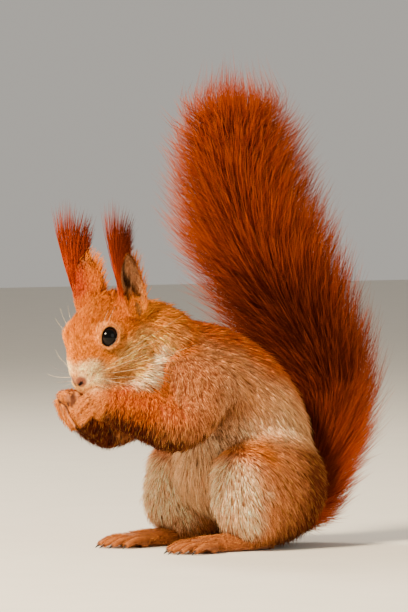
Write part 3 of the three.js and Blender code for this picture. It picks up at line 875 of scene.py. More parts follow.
# %% Length of the hair, in millimetres, and how far its tips stand off the skin
_, head_fore, head_up = head_measures(skin_places)
spine_share, _, _, spine_angle = around(skin_places, SPINE)
spine_high = np.sin(spine_angle)
under = ramp(spine_high, 0.1, -0.5)
nape = ramp(spine_share, 0.68, 0.9) * ramp(spine_high, 0.0, 0.6)
head_length = 4.6 - 2.9 * ramp(head_fore, 3, 24) + 1.2 * ramp(head_up, -2, -8) * ramp(head_fore, 14, 2)
head_length = head_length - 0.9 * ramp(head_up, 4, 10)
eye_distance = nearest(skin_places, EYES)
head_length = head_length * (1 - 0.5 * ramp(eye_distance, 10, 6.8))
in_hollow = np.min([ear_hollow(sign)[0](skin_places.astype(np.float32)) for _, sign in SIDES], axis=0)
head_length = head_length + 2.2 * ramp(head_fore, -9, -15) * ramp(head_up, -14, -6)
head_length = head_length * (1 - 0.68 * ramp(in_hollow, 4, 1))
LENGTHS = {
    "trunk": 9.5 - 2.0 * ramp(spine_share, 0.5, 0.85) + 1.5 * under,
    "tail": 9.0,
    "head": head_length,
    "arm": 5.2,
    "hand": 2.5,
    "leg": 8.0,
    "foot": 3.6 - 2.2 * ramp(-skin_places[:, 1], 26, 40),
    "ear": 2.6,
}
STANDS = {
    "trunk": 2.7 + 1.3 * nape,
    "tail": 3,
    "head": 0.32 * head_length,
    "arm": 2.1,
    "hand": 0.6,
    "leg": 2.7,
    "foot": 0.9,
    "ear": 0.7,
}


def by_part(table):
    return sum(weight * table[name.split("_")[0]] for name, weight in skin_parts.items())


hair = np.stack([by_part(LENGTHS), by_part(STANDS)], 1)
hair = eased(hair, skin_squares, passes=6, pull=0.7)
print("hair from %.1f to %.1f mm long" % (hair[:, 0].min(), hair[:, 0].max()))

# %% Bare skin: nose, lips, lids and palms, and painted shade in the ear's hollow and between the digits
def bare_kinds():
    """Each kind of bare skin and of painted shade: how much of it every knot has, and its colour."""
    pad = nearest(skin_places, [on_head(1.8 * sign, 25.9, -1.7) for _, sign in SIDES])
    yield ramp(pad, 4.2, 3.0) * skin_parts["head"], BARE["nose"]
    for eye, (_, sign) in zip(EYES, SIDES):
        yield ramp(from_line(skin_places, head_places(MOUTH[:4], sign)), 1.1, 0.5), BARE["lips"]
        yield ramp(from_line(skin_places, head_places(NOSTRIL, sign)), 1.3, 0.7), BARE["lips"] * 0.5
        rim = ramp(nearest(skin_places, [eye]), EYE_RADIUS + 1.05, EYE_RADIUS + 0.6)
        yield rim * ramp(from_line(skin_places, lid_line(sign, EYE_RADIUS + 0.1)), 1.7, 1.3), BARE["lid"]
    # Painted shade in the bowl at the foot of the ear.
    yield 0.75 * ramp(in_hollow, 0.9, 0.1), FUR["ear pit"]
    for side, sign in SIDES:
        inward = ramp(skin_normals @ unit(at(-sign * 0.6, -0.6, -0.2)), 0.0, 0.5)
        yield skin_parts["hand_" + side] * inward, BARE["palm"]
        yield skin_parts["foot_" + side] * ramp(skin_normals[:, 2], -0.5, -0.9), BARE["palm"]
    for kind, radius, share in (("hand", 1.16, 0.95), ("foot", 1.9, 0.5)):
        for side, _ in SIDES:
            part = f"{kind}_{side}"
            near = np.min([from_line(skin_places, smooth_line(digit, 4)) for digit in DIGITS[part]], axis=0)
            # Painted shade in the gaps between the fingers and between the toes, in the lips' dark brown.
            gap_shade = skin_parts[part] * ramp(near, radius * 0.98, radius * 1.14)
            yield share * (gap_shade * ramp(near, radius * 2.4, radius * 1.6)), BARE["lips"]


bare = np.zeros(len(skin_places))
under_hair = 0.8 * np.clip(fur_colour, 0, 1) ** 1.3 * [1, 0.85, 0.75]
skin_colour = mix(under_hair, fur_colour * 0.94, ramp(hair[:, 0], 6, 2.5))
for mask, colour in bare_kinds():
    skin_colour = mix(skin_colour, colour, mask)
    bare = np.maximum(bare, mask)
print("bare skin on", int((bare > 0.5).sum()), "knots")

# %% [markdown]
# ## Meshes from arrays
#
# Blender takes a mesh fastest as flat arrays. Each face list here is all triangles or all squares, so
# the loops start at even steps. Colours ride on the mesh as an attribute that materials can read.


# %% Make a mesh
def make_piece(name, places, faces, material, slot, colours=None, uv=None, extra=None, only=()):
    """Puts places in millimetres and faces of equal corner count into a smooth mesh on the body."""
    mesh = bpy.data.meshes.new(name)
    mesh.vertices.add(len(places))
    mesh.vertices.foreach_set("co", ((places + SHIFT) * MM).astype(np.float32).ravel())
    mesh.loops.add(faces.size)
    mesh.loops.foreach_set("vertex_index", faces.astype(np.int32).ravel())
    mesh.polygons.add(len(faces))
    mesh.polygons.foreach_set("loop_start", np.arange(0, faces.size, faces.shape[1], dtype=np.int32))
    mesh.polygons.foreach_set("use_smooth", np.ones(len(faces), bool))
    mesh.update(calc_edges=True)
    if colours is not None:
        data = mesh.attributes.new("markings", "FLOAT_COLOR", "POINT").data
        data.foreach_set("color", np.column_stack([colours, np.ones(len(places))]).astype(np.float32).ravel())
    for key, values in (extra or {}).items():
        kind, field_name = ("FLOAT_VECTOR", "vector") if values.ndim == 2 else ("FLOAT", "value")
        mesh.attributes.new(key, kind, "POINT").data.foreach_set(field_name, values.astype(np.float32).ravel())
    if uv is not None:
        mesh.uv_layers.new(name="OFBake").data.foreach_set("uv", uv.astype(np.float32).ravel())
    mesh.materials.append(material)
    piece = bpy.data.objects.new(name, mesh)
    bpy.context.scene.collection.objects.link(piece)
    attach(piece, "root")
    if only:
        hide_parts(*only)


# %% [markdown]
# ## Finishes
#
# The coat's colour comes from the markings, broken up so that no two hairs are quite alike. That
# break-up is one shader node group that every hairy or skin-like finish uses at its own scale.


# %% The break-up group
def socket(tree, name, kind, way, value=None):
    made = tree.interface.new_socket(name=name, in_out=way, socket_type=kind)
    if value is not None:
        made.default_value = value


def wire(tree, kind, inputs=(), **settings):
    """Adds a node, sets its settings and joins or fills its inputs."""
    node = tree.nodes.new(kind)
    for key, value in settings.items():
        setattr(node, key, value)
    for key, value in dict(inputs).items():
        if isinstance(value, bpy.types.NodeSocket):
            tree.links.new(value, node.inputs[key])
        else:
            node.inputs[key].default_value = value
    return node


broken = bpy.data.node_groups.new("broken colour", "ShaderNodeTree")
socket(broken, "Colour", "NodeSocketColor", "INPUT")
socket(broken, "Scale", "NodeSocketFloat", "INPUT", 900)
socket(broken, "Depth", "NodeSocketFloat", "INPUT", 0.3)
socket(broken, "Colour", "NodeSocketColor", "OUTPUT")
socket(broken, "Grain", "NodeSocketFloat", "OUTPUT")
entry = wire(broken, "NodeGroupInput")
place_node = wire(broken, "ShaderNodeTexCoord")
fine = wire(
    broken,
    "ShaderNodeTexNoise",
    {"Vector": place_node.outputs["Object"], "Scale": entry.outputs["Scale"], "Detail": 3.0},
)
low_end = wire(broken, "ShaderNodeMath", {0: 1.0, 1: entry.outputs["Depth"]}, operation="SUBTRACT")
high_end = wire(broken, "ShaderNodeMath", {0: 1.0, 1: entry.outputs["Depth"]}, operation="ADD")
level = wire(
    broken,
    "ShaderNodeMapRange",
    {
        "Value": fine.outputs[0],
        "From Min": 0.3,
        "From Max": 0.7,
        "To Min": low_end.outputs[0],
        "To Max": high_end.outputs[0],
    },
)
scaling = {0: entry.outputs["Colour"], "Scale": level.outputs[0]}
scaled = wire(broken, "ShaderNodeVectorMath", scaling, operation="SCALE")
wire(broken, "NodeGroupOutput", {"Colour": scaled.outputs[0], "Grain": fine.outputs[0]})
print("break-up group of", len(broken.nodes), "nodes")


def finish_of(name, scale, depth, colour=None, **sockets):
    """A Principled finish whose colour, the mesh's markings if no other is given, is broken up by the
    group. Sockets set what is the same all over."""
    material = bpy.data.materials.new(name)
    material.use_nodes = True
    tree = material.node_tree
    shader = tree.nodes["Principled BSDF"]
    source = wire(tree, "ShaderNodeAttribute", attribute_name="markings") if colour is None else None
    inputs = {"Scale": scale, "Depth": depth, "Colour": source.outputs["Color"] if source else (*colour, 1)}
    group = wire(tree, "ShaderNodeGroup", inputs, node_tree=broken)
    tree.links.new(group.outputs["Colour"], shader.inputs["Base Color"])
    for key, value in sockets.items():
        shader.inputs[key.replace("_", " ")].default_value = value
    return material


def drive(material, key, value):
    """Joins a node's result to one input of a finish."""
    tree = material.node_tree
    tree.links.new(value, tree.nodes["Principled BSDF"].inputs[key])


# %% Coat, skin, eye, claw and whisker
coat = finish_of("coat", 1400, 0.22, Roughness=0.78, Specular_IOR_Level=0.05)
skin_finish = finish_of("skin", 1500, 0.18, Roughness=0.6, Specular_IOR_Level=0.25)
tree = skin_finish.node_tree
along_hair = wire(tree, "ShaderNodeAttribute", attribute_name="nap").outputs["Vector"]
strands = wire(tree, "ShaderNodeTexNoise", {"Vector": along_hair, "Scale": 2600.0, "Detail": 2.0})
pores = wire(tree, "ShaderNodeTexVoronoi", {"Vector": along_hair, "Scale": 1800.0})
bare_mask = wire(tree, "ShaderNodeAttribute", attribute_name="bare").outputs["Fac"]
relief = wire(tree, "ShaderNodeMix", {"Factor": bare_mask, "A": strands.outputs[0], "B": pores.outputs["Distance"]})
bump = wire(tree, "ShaderNodeBump", {"Height": relief.outputs[0], "Strength": 0.55, "Distance": 0.0003})
drive(skin_finish, "Normal", bump.outputs[0])
damp = wire(tree, "ShaderNodeMapRange", {"Value": bare_mask, "To Min": 0.72, "To Max": 0.36})
drive(skin_finish, "Roughness", damp.outputs[0])
eye_finish = finish_of("eye", 700, 0.35, Roughness=0.35, Coat_Weight=0.3, Coat_Roughness=0.03, Specular_IOR_Level=0.0)
claw_finish = finish_of("claw", 1600, 0.3, Roughness=0.34, Specular_IOR_Level=0.5)
tree = claw_finish.node_tree
grain = tree.nodes["Group"].outputs["Grain"]
bump = wire(tree, "ShaderNodeBump", {"Height": grain, "Strength": 0.3, "Distance": 0.0001})
drive(claw_finish, "Normal", bump.outputs[0])
whisker_finish = finish_of("whisker", 500, 0.2, Roughness=0.35, Specular_IOR_Level=0.6)
print("finishes:", [m.name for m in bpy.data.materials])

# %% [markdown]
# ## The skin goes on
#
# The net becomes one object that stands for every fleshy part of the solid model. Its attribute
# "nap" holds each place pressed together along the lie, so that a noise read from it draws out into
# short strands, which is all the hair that the bridge of the nose and the backs of the toes need.

# %% Skin object
FLESH = [n for n in frame["nodes"] if not n.startswith(("eye_", "ear_tuft_", "tail_"))]
nap_of_head = np.stack(head_measures(skin_places), 1) * [1, 0.22, 1]
nap_of_rest = skin_places * [1, 0.8, 0.8]
nap = nap_of_rest + skin_parts["head"][:, None] * (nap_of_head - nap_of_rest)
for side, _ in SIDES:
    nap += skin_parts["ear_" + side][:, None] * (skin_places * [1, 1, 0.2] - nap_of_rest)
    digits = skin_parts["foot_" + side] + skin_parts["hand_" + side]
    nap += digits[:, None] * (skin_places * [1, 0.25, 1] - nap_of_rest)
make_piece(
    "skin",
    skin_places,
    skin_squares,
    skin_finish,
    "flank_coat",
    colours=np.clip(skin_colour, 0, 1),
    extra={"bare": np.clip(bare, 0, 1), "nap": nap * MM},
    only=FLESH,
)
print("skin replaces", len(FLESH), "parts;", 2 * len(skin_squares), "triangles")

# %% [markdown]
# ## Eyes
#
# The eye of a squirrel is almost all pupil: black, with a dark brown ring that shows only in strong
# light. A ball whose net is densest at the pupil takes those colours by angle from the gaze, and a
# clear coat over it gives the wet shine.


# %% Eyeballs
def ball(centre, radius, pole, rings=40, spokes=56):
    """A sphere by two angles: from the pole, and round it. Each pole is one shared knot."""
    side = unit(np.cross(pole, at(0.3, 0.1, 1)))
    other = np.cross(pole, side)
    lean = np.linspace(0, np.pi, rings + 1)[1:-1, None, None]
    turn = (np.arange(spokes) * 2 * np.pi / spokes)[None, :, None]
    way = np.cos(lean) * pole + np.sin(lean) * (np.cos(turn) * side + np.sin(turn) * other)
    places = np.vstack([centre + radius * pole, centre + radius * way.reshape(-1, 3), centre - radius * pole])
    i = np.arange((rings - 2) * spokes)
    next_i = i // spokes * spokes + (i + 1) % spokes
    band = np.stack([i + 1, i + 1 + spokes, next_i + 1 + spokes, next_i + 1], 1)
    j = np.arange(spokes)
    k = (j + 1) % spokes
    last = 1 + (rings - 2) * spokes
    top = np.stack([0 * j, j + 1, k + 1], 1)
    foot = np.stack([0 * j + last + spokes, last + k, last + j], 1)
    triangles = np.vstack([top, band[:, [0, 1, 2]], band[:, [0, 2, 3]], foot])
    return places, triangles


for side, sign in SIDES:
    look = gaze(sign)
    places, triangles = ball(eye_place(sign), EYE_RADIUS, look)
    away = np.degrees(np.arccos(np.clip((places - eye_place(sign)) @ look / EYE_RADIUS, -1, 1)))
    colours = mix(tone(4, 3, 3)[None], tone(20, 10, 6), ramp(away, 34, 40))
    colours = mix(colours, tone(6, 4, 3), ramp(away, 44, 50))
    make_piece("eyeball_" + side, places, triangles, eye_finish, "eye", colours=colours, only=["eye_" + side])
print("eyes of", len(triangles), "triangles each")


# %% [markdown]
# ## Claws and whiskers
#
# Both are tapered tubes along a curve. Claws are dark and hooked, and leave the last joint of each
# digit on its upper side. Whiskers stand in rows on the pads and over the eye and are thin as thread.


# %% Tapered tubes
def tapered(lines, radii, sides=6, up=at(0, 0, 1)):
    """Rings carried along each line, closed by a knot at both ends. lines is (tubes, stations, 3)."""
    count, stations, _ = lines.shape
    way = unit(np.gradient(lines, axis=1))
    first = unit(np.cross(way, np.broadcast_to(up + 1e-3, way.shape)))
    second = np.cross(way, first)
    turn = np.arange(sides) * 2 * np.pi / sides
    ring = np.cos(turn)[:, None] * first[:, :, None] + np.sin(turn)[:, None] * second[:, :, None]
    body = lines[:, :, None] + np.broadcast_to(radii, (count, stations))[:, :, None, None] * ring
    places = np.concatenate([lines[:, :1], body.reshape(count, -1, 3), lines[:, -1:]], 1)
    i = np.arange((stations - 1) * sides)
    j = i // sides * sides + (i + 1) % sides
    walls = np.stack([i + 1, j + 1, j + 1 + sides], 1), np.stack([i + 1, j + 1 + sides, i + 1 + sides], 1)
    e = np.arange(sides)
    f = (e + 1) % sides
    end = 1 + stations * sides
    caps = np.stack([0 * e, f + 1, e + 1], 1), np.stack([0 * e + end, end - sides + e, end - sides + f], 1)
    one = np.vstack([*walls, *caps])
    faces = (one[None] + (np.arange(count) * places.shape[1])[:, None, None]).reshape(-1, 3)
    return places.reshape(-1, 3), faces, 1 + stations * sides + 1


# %% Claws
CLAW_STATIONS, CLAW_SIDES = 9, 8
CLAW_PROFILE = np.sqrt(1 - np.linspace(0, 0.985, CLAW_STATIONS))
for kind, length, girth, hooked in (("hand", 2.3, 0.62, 0.38), ("foot", 4.2, 0.9, 0.2)):
    for side, sign in SIDES:
        tips = np.array(DIGITS[f"{kind}_{side}"])
        way = unit(tips[:, 2] - tips[:, 1])
        down = unit(at(0, 0, -1) + way * way[:, 2:])
        t = np.linspace(0, 1, CLAW_STATIONS)[None, :, None]
        start = (tips[:, 2] - 0.3 * way - 0.2 * down)[:, None]
        hook = start + length * (t * way[:, None] + hooked * t * t * down[:, None])
        radii = girth * CLAW_PROFILE[None] * np.array([1, 1, 1, 0.96, 0.9, 0.85, 0.8, 0.7, 0.5])
        places, faces, _ = tapered(hook, radii, sides=CLAW_SIDES)
        places[:, 2] = np.maximum(places[:, 2], 0.02)
        ring_depth = np.linspace(0, 1, CLAW_STATIONS).repeat(CLAW_SIDES)
        depth = np.tile([0.0, *ring_depth, 1.0], len(tips))
        colours = mix(tone(92, 66, 50)[None], tone(26, 18, 16), ramp(depth, 0.0, 0.6))
        make_piece(f"claws_{kind}_{side}", places, faces, claw_finish, "paw", colours=colours)
print("claws done")


# %% Whiskers
def whiskers(sign, random):
    """The whiskers of one side as lines that leave sideways and bend back."""
    roots, ways, lengths = (np.array(part) for part in zip(*whisker_roots(sign)))
    lengths = lengths * random.uniform(0.85, 1.1, len(roots))
    back = HEAD_AXES @ at(0.1 * sign, -0.8, -0.3)
    t = np.linspace(0, 1, 10)[None, :, None]
    return roots[:, None] + 0.8 * lengths[:, None, None] * (t * ways[:, None] + 0.42 * t * t * back)


for side, sign in SIDES:
    lines = whiskers(sign, np.random.default_rng(7))
    places, faces, per = tapered(lines, np.linspace(0.07, 0.02, 10)[None], sides=4)
    shade = np.random.default_rng(8).uniform(0, 1, len(lines)).repeat(per)
    colours = mix(tone(84, 54, 34)[None], tone(240, 214, 168), ramp(shade, 0.3, 0.5))
    make_piece("whiskers_" + side, places, faces, whisker_finish, "face_coat", colours=colours)
print("whiskers:", 2 * len(lines))


# %% [markdown]
# ## Tufts
#
# Hair is not one smooth sheet: it gathers in small pointed tufts. Here each tuft is a closed spindle
# of six faces: a knot in the skin, a ring of three at its widest and a knot at the tip. The long
# hairs of the brush and the ears have a second ring, and so twelve faces. A tuft lies
# along the lie of the coat, and where a slow wave runs over the skin its neighbours lean together,
# so that locks form. Small solid tufts cost more faces than particle hair, but they stay in the
# exported model and can be seen from every side.


# %% A mesh of many tufts
def tufts(name, spines, outs, widths, tints, uv, slot, only=()):
    """Spindles along lines: spines is (tufts, stations, 3) from root to tip, with a ring of three knots at
    each inner station, at plus and minus the side and at the outer edge."""
    count, stations, _ = spines.shape
    rings = stations - 2
    way = unit(spines[:, 2:] - spines[:, :-2])
    outs = unit(outs[:, None] - way * (outs[:, None] * way).sum(2, keepdims=True))
    side = np.cross(way, outs)
    w = widths.reshape(count, -1, 1)
    inner = spines[:, 1:-1]
    ring = np.stack([inner + w * side, inner - w * side, inner + 0.75 * w * outs], 2)
    places = np.concatenate([spines[:, :1], ring.reshape(count, -1, 3), spines[:, -1:]], 1)
    end = 1 + 3 * rings
    one = [(0, 2, 1), (0, 3, 2), (0, 1, 3)]
    for r in range(rings - 1):
        a = 1 + 3 * r
        for i, j in ((0, 1), (1, 2), (2, 0)):
            one += [(a + i, a + j, a + j + 3), (a + i, a + j + 3, a + i + 3)]
    a = end - 3
    one += [(a, a + 1, end), (a + 1, a + 2, end), (a + 2, a, end)]
    one = np.array(one)
    faces = (one[None] + (np.arange(count) * (end + 1))[:, None, None]).reshape(-1, 3)
    colours = np.concatenate([tints[:, :1], tints[:, 1:-1].repeat(3, axis=1), tints[:, -1:]], 1).reshape(-1, 3)
    step = np.linspace(-1, 1, stations)
    patch = np.zeros((end + 1, 2))
    patch[:, 0] = 0.0015 * np.concatenate([step[:1], step[1:-1].repeat(3), step[-1:]])
    patch[1:-1, 1] = np.tile([-0.0013, 0.0013, 0.0], rings)
    corner_uv = np.clip(uv, 0.004, 0.996)[:, None, None] + patch[one][None]
    looks = {"colours": np.clip(colours, 0, 1), "uv": corner_uv.reshape(-1, 2)}
    make_piece(name, places.reshape(-1, 3), faces, coat, slot, only=only, **looks)


def spread_out(u, v):
    """Two measures of the roots stretched to fill the map."""
    pair = np.stack([u, v], 1)
    low, high = pair.min(0), pair.max(0)
    return 0.01 + 0.98 * (pair - low) / (high - low)


# %% Where tufts stand
TRIANGLES = np.vstack([skin_squares[:, [0, 1, 2]], skin_squares[:, [0, 2, 3]]])
corners = skin_places[TRIANGLES]
TRIANGLE_AREA = np.linalg.norm(np.cross(corners[:, 1] - corners[:, 0], corners[:, 2] - corners[:, 0]), axis=1) / 2
EYE_GAP = EYE_RADIUS + 0.8
density = 7.0 / np.maximum(hair[:, 0], 1.4) ** 1.1 * np.clip(1 - 1.3 * bare, 0, 1) * (eye_distance > EYE_GAP)


def scatter(share_of_region, count, seed):
    """Random roots on the skin where a region's mask says, more to each area where hair is short."""
    random = np.random.default_rng(seed)
    chance = TRIANGLE_AREA * (share_of_region * density)[TRIANGLES].mean(1)
    pick = np.searchsorted(np.cumsum(chance) / chance.sum(), random.uniform(0, 1, count))
    pick = TRIANGLES[np.minimum(pick, len(TRIANGLES) - 1)]
    a, b = random.uniform(0, 1, (2, count))
    a, b = np.where(a + b > 1, 1 - a, a), np.where(a + b > 1, 1 - b, b)
    weights = np.stack([1 - a - b, a, b], 1)[:, :, None]
    return lambda values: (values[pick] * weights).sum(1), random


def lean_together(places, size, seed):
    """The slope of a slow wave over space, which points from hollows to ridges, and its height."""
    waves, phase = waves_over(places, size, seed, 14, 0.7)
    return np.cos(phase) @ unit(waves) / 2.6, np.sin(phase).sum(1) / 3.7


DEEPENING = np.array([0.85, 1.15, 1.35])  # darker hairs are redder too
PALE_TIP = tone(255, 182, 78)


def coat_piece(name, region, count, seed, measures, slot, pale=0.2, gather=0.16, streaky=0.17):
    """Tufts over one region of the skin."""
    read, random = scatter(region, count, seed)
    roots, normals, way = read(skin_places), unit(read(skin_normals)), unit(read(lie))
    length, stand = read(hair).T
    guard = random.uniform(0, 1, count) < 0.07
    length = length * random.uniform(0.7, 1.2, count) * (1 + 0.25 * guard)
    slope, ridge = lean_together(roots, 5.5, 11)
    slope_fine, ridge_fine = lean_together(roots, 2.6, 12)
    lean = gather * slope + 0.05 * slope_fine + random.normal(0, 0.11, (count, 3))
    way = way + lean - normals * (lean * normals).sum(1, keepdims=True)
    way = unit(way - normals * (way * normals).sum(1, keepdims=True))
    lift = 1 + 0.12 * ridge + random.normal(0, 0.18, count) + 0.55 * guard
    rise = np.clip(stand / length * lift, 0.05, 0.75)[:, None]
    level = np.sqrt(1 - rise**2)
    middle = roots + 0.48 * length[:, None] * (level * way + 1.35 * rise * normals)
    tip = roots + length[:, None] * (level * way + rise * normals)
    spines = np.stack([roots - 0.35 * normals, middle, tip], 1)
    over_eye = nearest(spines[:, 1:], EYES).min(1) < EYE_GAP - 0.3
    spines[over_eye] = (0.7 * spines[:, :1] + 0.3 * spines)[over_eye]
    spines[:, 1:, 2] = np.maximum(spines[:, 1:, 2], 0.15 + 0.2 * random.uniform(0, 1, (count, 1)))
    spines[:, 0, 2] = np.maximum(spines[:, 0, 2], 0.1)
    width = np.clip(0.04 * length**0.75, 0.075, 0.2) * random.uniform(0.8, 1.25, count)
    streak = wobble(read(nap), 1.3, 13) + 0.8 * wobble(read(nap), 0.7, 14)
    level = 1 + 0.04 * ridge + 0.03 * ridge_fine + streaky * streak + random.normal(0, 0.22, count)
    base = read(fur_colour) * np.clip(level, 0.3, 1.7)[:, None] ** DEEPENING
    light = (random.uniform(0, 1, count) < pale + 0.12 * streak)[:, None] * random.uniform(0.3, 0.8, (count, 1))
    tips = base * 1.1 + (PALE_TIP - base) * light * (base[:, :1] > base[:, 2:] * 2)
    roots_tint = np.clip(base, 0, 1) ** 1.25 * (0.62 + 0.3 * base[:, 1:2]) * [1, 0.82, 0.7]
    tints = np.stack([roots_tint, np.clip(base, 0, 1) ** 1.08, tips], 1)
    u, v = measures(roots)
    tufts(name, spines, normals, width, tints, spread_out(u, v), slot)


# %% The coat, region by region
leader = np.array(list(skin_parts))[np.argmax(list(skin_parts.values()), axis=0)]


def owned(*names):
    """True for the knots that one of these parts owns more of than any other part does."""
    return np.isin(leader, names)



def head_map(places):
    """Angle round the line from nape to nose, and the distance along it."""
    left, fore, up = head_measures(places)
    return np.arctan2(left, up + 2), fore


def line_map(line):
    def measures(places):
        share, _, _, angle = around(places, line)
        return (angle + np.pi / 2) % (2 * np.pi), share

    return measures


def upright_map(x, y):
    return lambda places: (np.arctan2(places[:, 0] - x, places[:, 1] - y), places[:, 2])


trunk = owned("trunk") | (owned("tail") & (around(skin_places, TAIL)[0] < 0.12))
face, neck, upper = head_fore > 3, spine_share > 0.66, spine_high > 0
by_spine = line_map(SPINE)
coat_piece("fur_face", owned("head") * face, 31000, 21, head_map, "face_coat", pale=0.12, gather=0.22, streaky=0.24)
coat_piece("fur_crown", owned("head") * ~face, 22000, 22, head_map, "face_coat", pale=0.14, gather=0.24, streaky=0.2)
coat_piece("fur_neck", trunk * neck, 12500, 23, by_spine, "back_coat")
coat_piece("fur_back", trunk * ~neck * upper, 18500, 24, by_spine, "back_coat", pale=0.22)
coat_piece("fur_belly", trunk * ~neck * ~upper, 13500, 25, by_spine, "flank_coat", pale=0.3)
for side, sign in SIDES:
    reach = smooth_line(np.vstack([arm(side)[0][::5], KNUCKLES[side], FINGERTIPS[side]]))
    arm_map = line_map((reach, np.ones(len(reach))))
    ear_map = lambda p, s=sign: ear_place(p, s)[2::-2]
    foot_map = lambda p, s=sign: (np.arctan2(p[:, 0] - 27 * s, p[:, 2] - 3.5), -p[:, 1])
    coat_piece("fur_arm_" + side, owned("arm_" + side, "hand_" + side), 12000, 26, arm_map, "arm_coat", pale=0.14)
    coat_piece("fur_leg_" + side, owned("leg_" + side), 11500, 27, upright_map(26 * sign, 8), "leg_coat", pale=0.28)
    coat_piece("fur_ear_" + side, owned("ear_" + side), 4500, 28, ear_map, "ear", pale=0.1)
    coat_piece("fur_foot_" + side, owned("foot_" + side), 5000, 29, foot_map, "leg_coat", pale=0.12)


# %% [markdown]
# ## The brush
#
# The tail is a thin core that carries the longest hair of the body. The hair parts to the two sides
# like a feather, so that it is broad from behind and thinner from the side. Each lock starts on the
# core, leans out and bends up along the tail, and its tip reaches an ellipse round the line.


# %% Locks of the brush
def brush_frame(share):
    """Place, direction, side and back of the brush at a share of its length, and its depth there."""
    place, way = reading(BRUSH_LINE, share)
    steps = np.arange(len(BRUSH_LINE)) / (len(BRUSH_LINE) - 1)
    side = unit(BRUSH_ACROSS - way * (way @ BRUSH_ACROSS)[:, None])
    return place, way, side, np.cross(way, side), np.interp(share, steps, BRUSH_DEPTH)


BRUSH_FULLEST = 1.14  # the outermost hairs, as a share of the brush's own radius
BRUSH_DOME = 21  # millimetres over which the tip rounds off


def brush_piece(name, low, high, count, seed, only):
    """Hairs whose roots lie between two shares of the brush. Most lean to the left or right, as on a
    feather. Roots and tips belong to bundles, so that tips meet in soft points."""
    random = np.random.default_rng(seed)
    bundles = count // 2
    bundle = random.integers(0, bundles, count)

    def shared(least=0.0, most=1.0):
        return random.uniform(least, most, bundles)[bundle]

    start = shared(low, high) + random.normal(0, 0.007, count)
    parted = np.pi * random.integers(0, 2, bundles) + random.normal(0, 0.6, bundles)
    even = random.uniform(0, 1, count) > 0.7 - 0.5 * ramp(start, 0.66, 0.88)
    turn = np.where(even, shared(0, 2 * np.pi), parted[bundle])
    turn = turn + random.normal(0, 0.14, count)
    fill = shared() ** (0.5 + 0.4 * ramp(start, 0.7, 0.9)) * random.uniform(0.84, 1.12, count)
    fill = np.minimum(fill * (1 + 0.07 * (random.uniform(0, 1, count) > 0.85)), BRUSH_FULLEST)
    run = (0.075 + 0.075 * shared()) * random.uniform(0.75, 1.2, count)
    run = run * (0.55 + 0.45 * ramp(start, 0.0, 0.2))
    sway = random.normal(0, 1.2, (bundles, 3))[bundle] + random.normal(0, 1.0, (count, 3))
    stations = []
    for t in (0.0, 0.3, 0.65, 1.0):
        reach = start + run * (0.7 * t + 0.3 * t * t)
        share = np.clip(reach, 0.0, 0.9999)
        beyond = reach - share
        place, way, side, back, depth = brush_frame(share)
        dome = np.sqrt(np.clip(1 - (beyond * BRUSH_LENGTH / BRUSH_DOME) ** 2, 0.3, 1))
        out = fill * dome * (1 - (1 - t) ** 1.35)
        wide = (BRUSH_WIDE * depth * out + 2.5 * (1 - t))[:, None]
        deep = (depth * out + 2.5 * (1 - t))[:, None]
        away = wide * np.cos(turn)[:, None] * side + deep * np.sin(turn)[:, None] * back
        stations.append(place + BRUSH_LENGTH * beyond[:, None] * way + away + sway * t * t)
    spines = np.stack(stations, 1)
    spines[:, :, 2] = np.maximum(spines[:, :, 2], 0.3)
    width = np.array([[0.13, 0.1]]) * random.uniform(0.7, 1.3, (count, 1))
    level = 1 + random.normal(0, 0.14, bundles)[bundle] + random.normal(0, 0.16, count)
    base = np.clip(level, 0.4, 1.7)[:, None] * FUR["brush"]
    # Painted shade: hairs on the body's side of the middle of the brush are darker, where the back shades them.
    body_shade = ramp(-np.sin(turn), -0.1, 0.7) * ramp(start, 0.7, 0.52)
    # Painted light lifts the lower brush, which the body shades.
    base = base * ((1 - 0.6 * body_shade) * (1 + 0.3 * ramp(start, 0.75, 0.5) + 1.3 * ramp(start, 0.45, 0.2)))[:, None]
    # Hairs that reach the edge of the brush get paler tips and lighter middles, and those in its core stay dark.
    edge_glow = ramp(fill, 0.2, 0.95) * (1 - 0.7 * body_shade)
    pale = mix(FUR["brush tip"][None], tone(190, 116, 62), ramp(start, 0.45, 0.2))
    # The pale tips are the hair's own; their glow at the edge and the dark core are painted light and shade.
    tip = base + (pale - base) * (0.85 * edge_glow * random.uniform(0.3, 1, count))[:, None]
    root_tint = mix(base, FUR["brush root"], np.full(count, 0.8))
    tints = np.stack([root_tint, mix(FUR["brush root"], base, 0.4 + 0.5 * edge_glow), base, tip], 1)
    outs = unit(spines[:, 2] - brush_frame(start)[0]) + random.normal(0, 0.4, (count, 3))
    tufts(name, spines, outs, width, tints, spread_out(turn % (2 * np.pi), start), "brush", only=only)


brush_piece("brush_low", 0.02, 0.27, 10000, 31, ["tail_root"])
brush_piece("brush_lower", 0.25, 0.45, 10000, 34, ["tail_lower"])
brush_piece("brush_middle", 0.44, 0.66, 10000, 32, ["tail_middle"])
brush_piece("brush_upper", 0.64, 0.95, 11800, 33, ["tail_upper", "tail_tip"])
print("brush locks made")


# %% [markdown]
# ## Ear tufts
#
# In winter coat the ears carry long tufts. The hairs grow from the upper edge and back of the ear,
# run straight on beyond its tip and fan out a little.


# %% Ear tufts
TALLEST_HAIR = 29  # millimetres above the tip of the ear


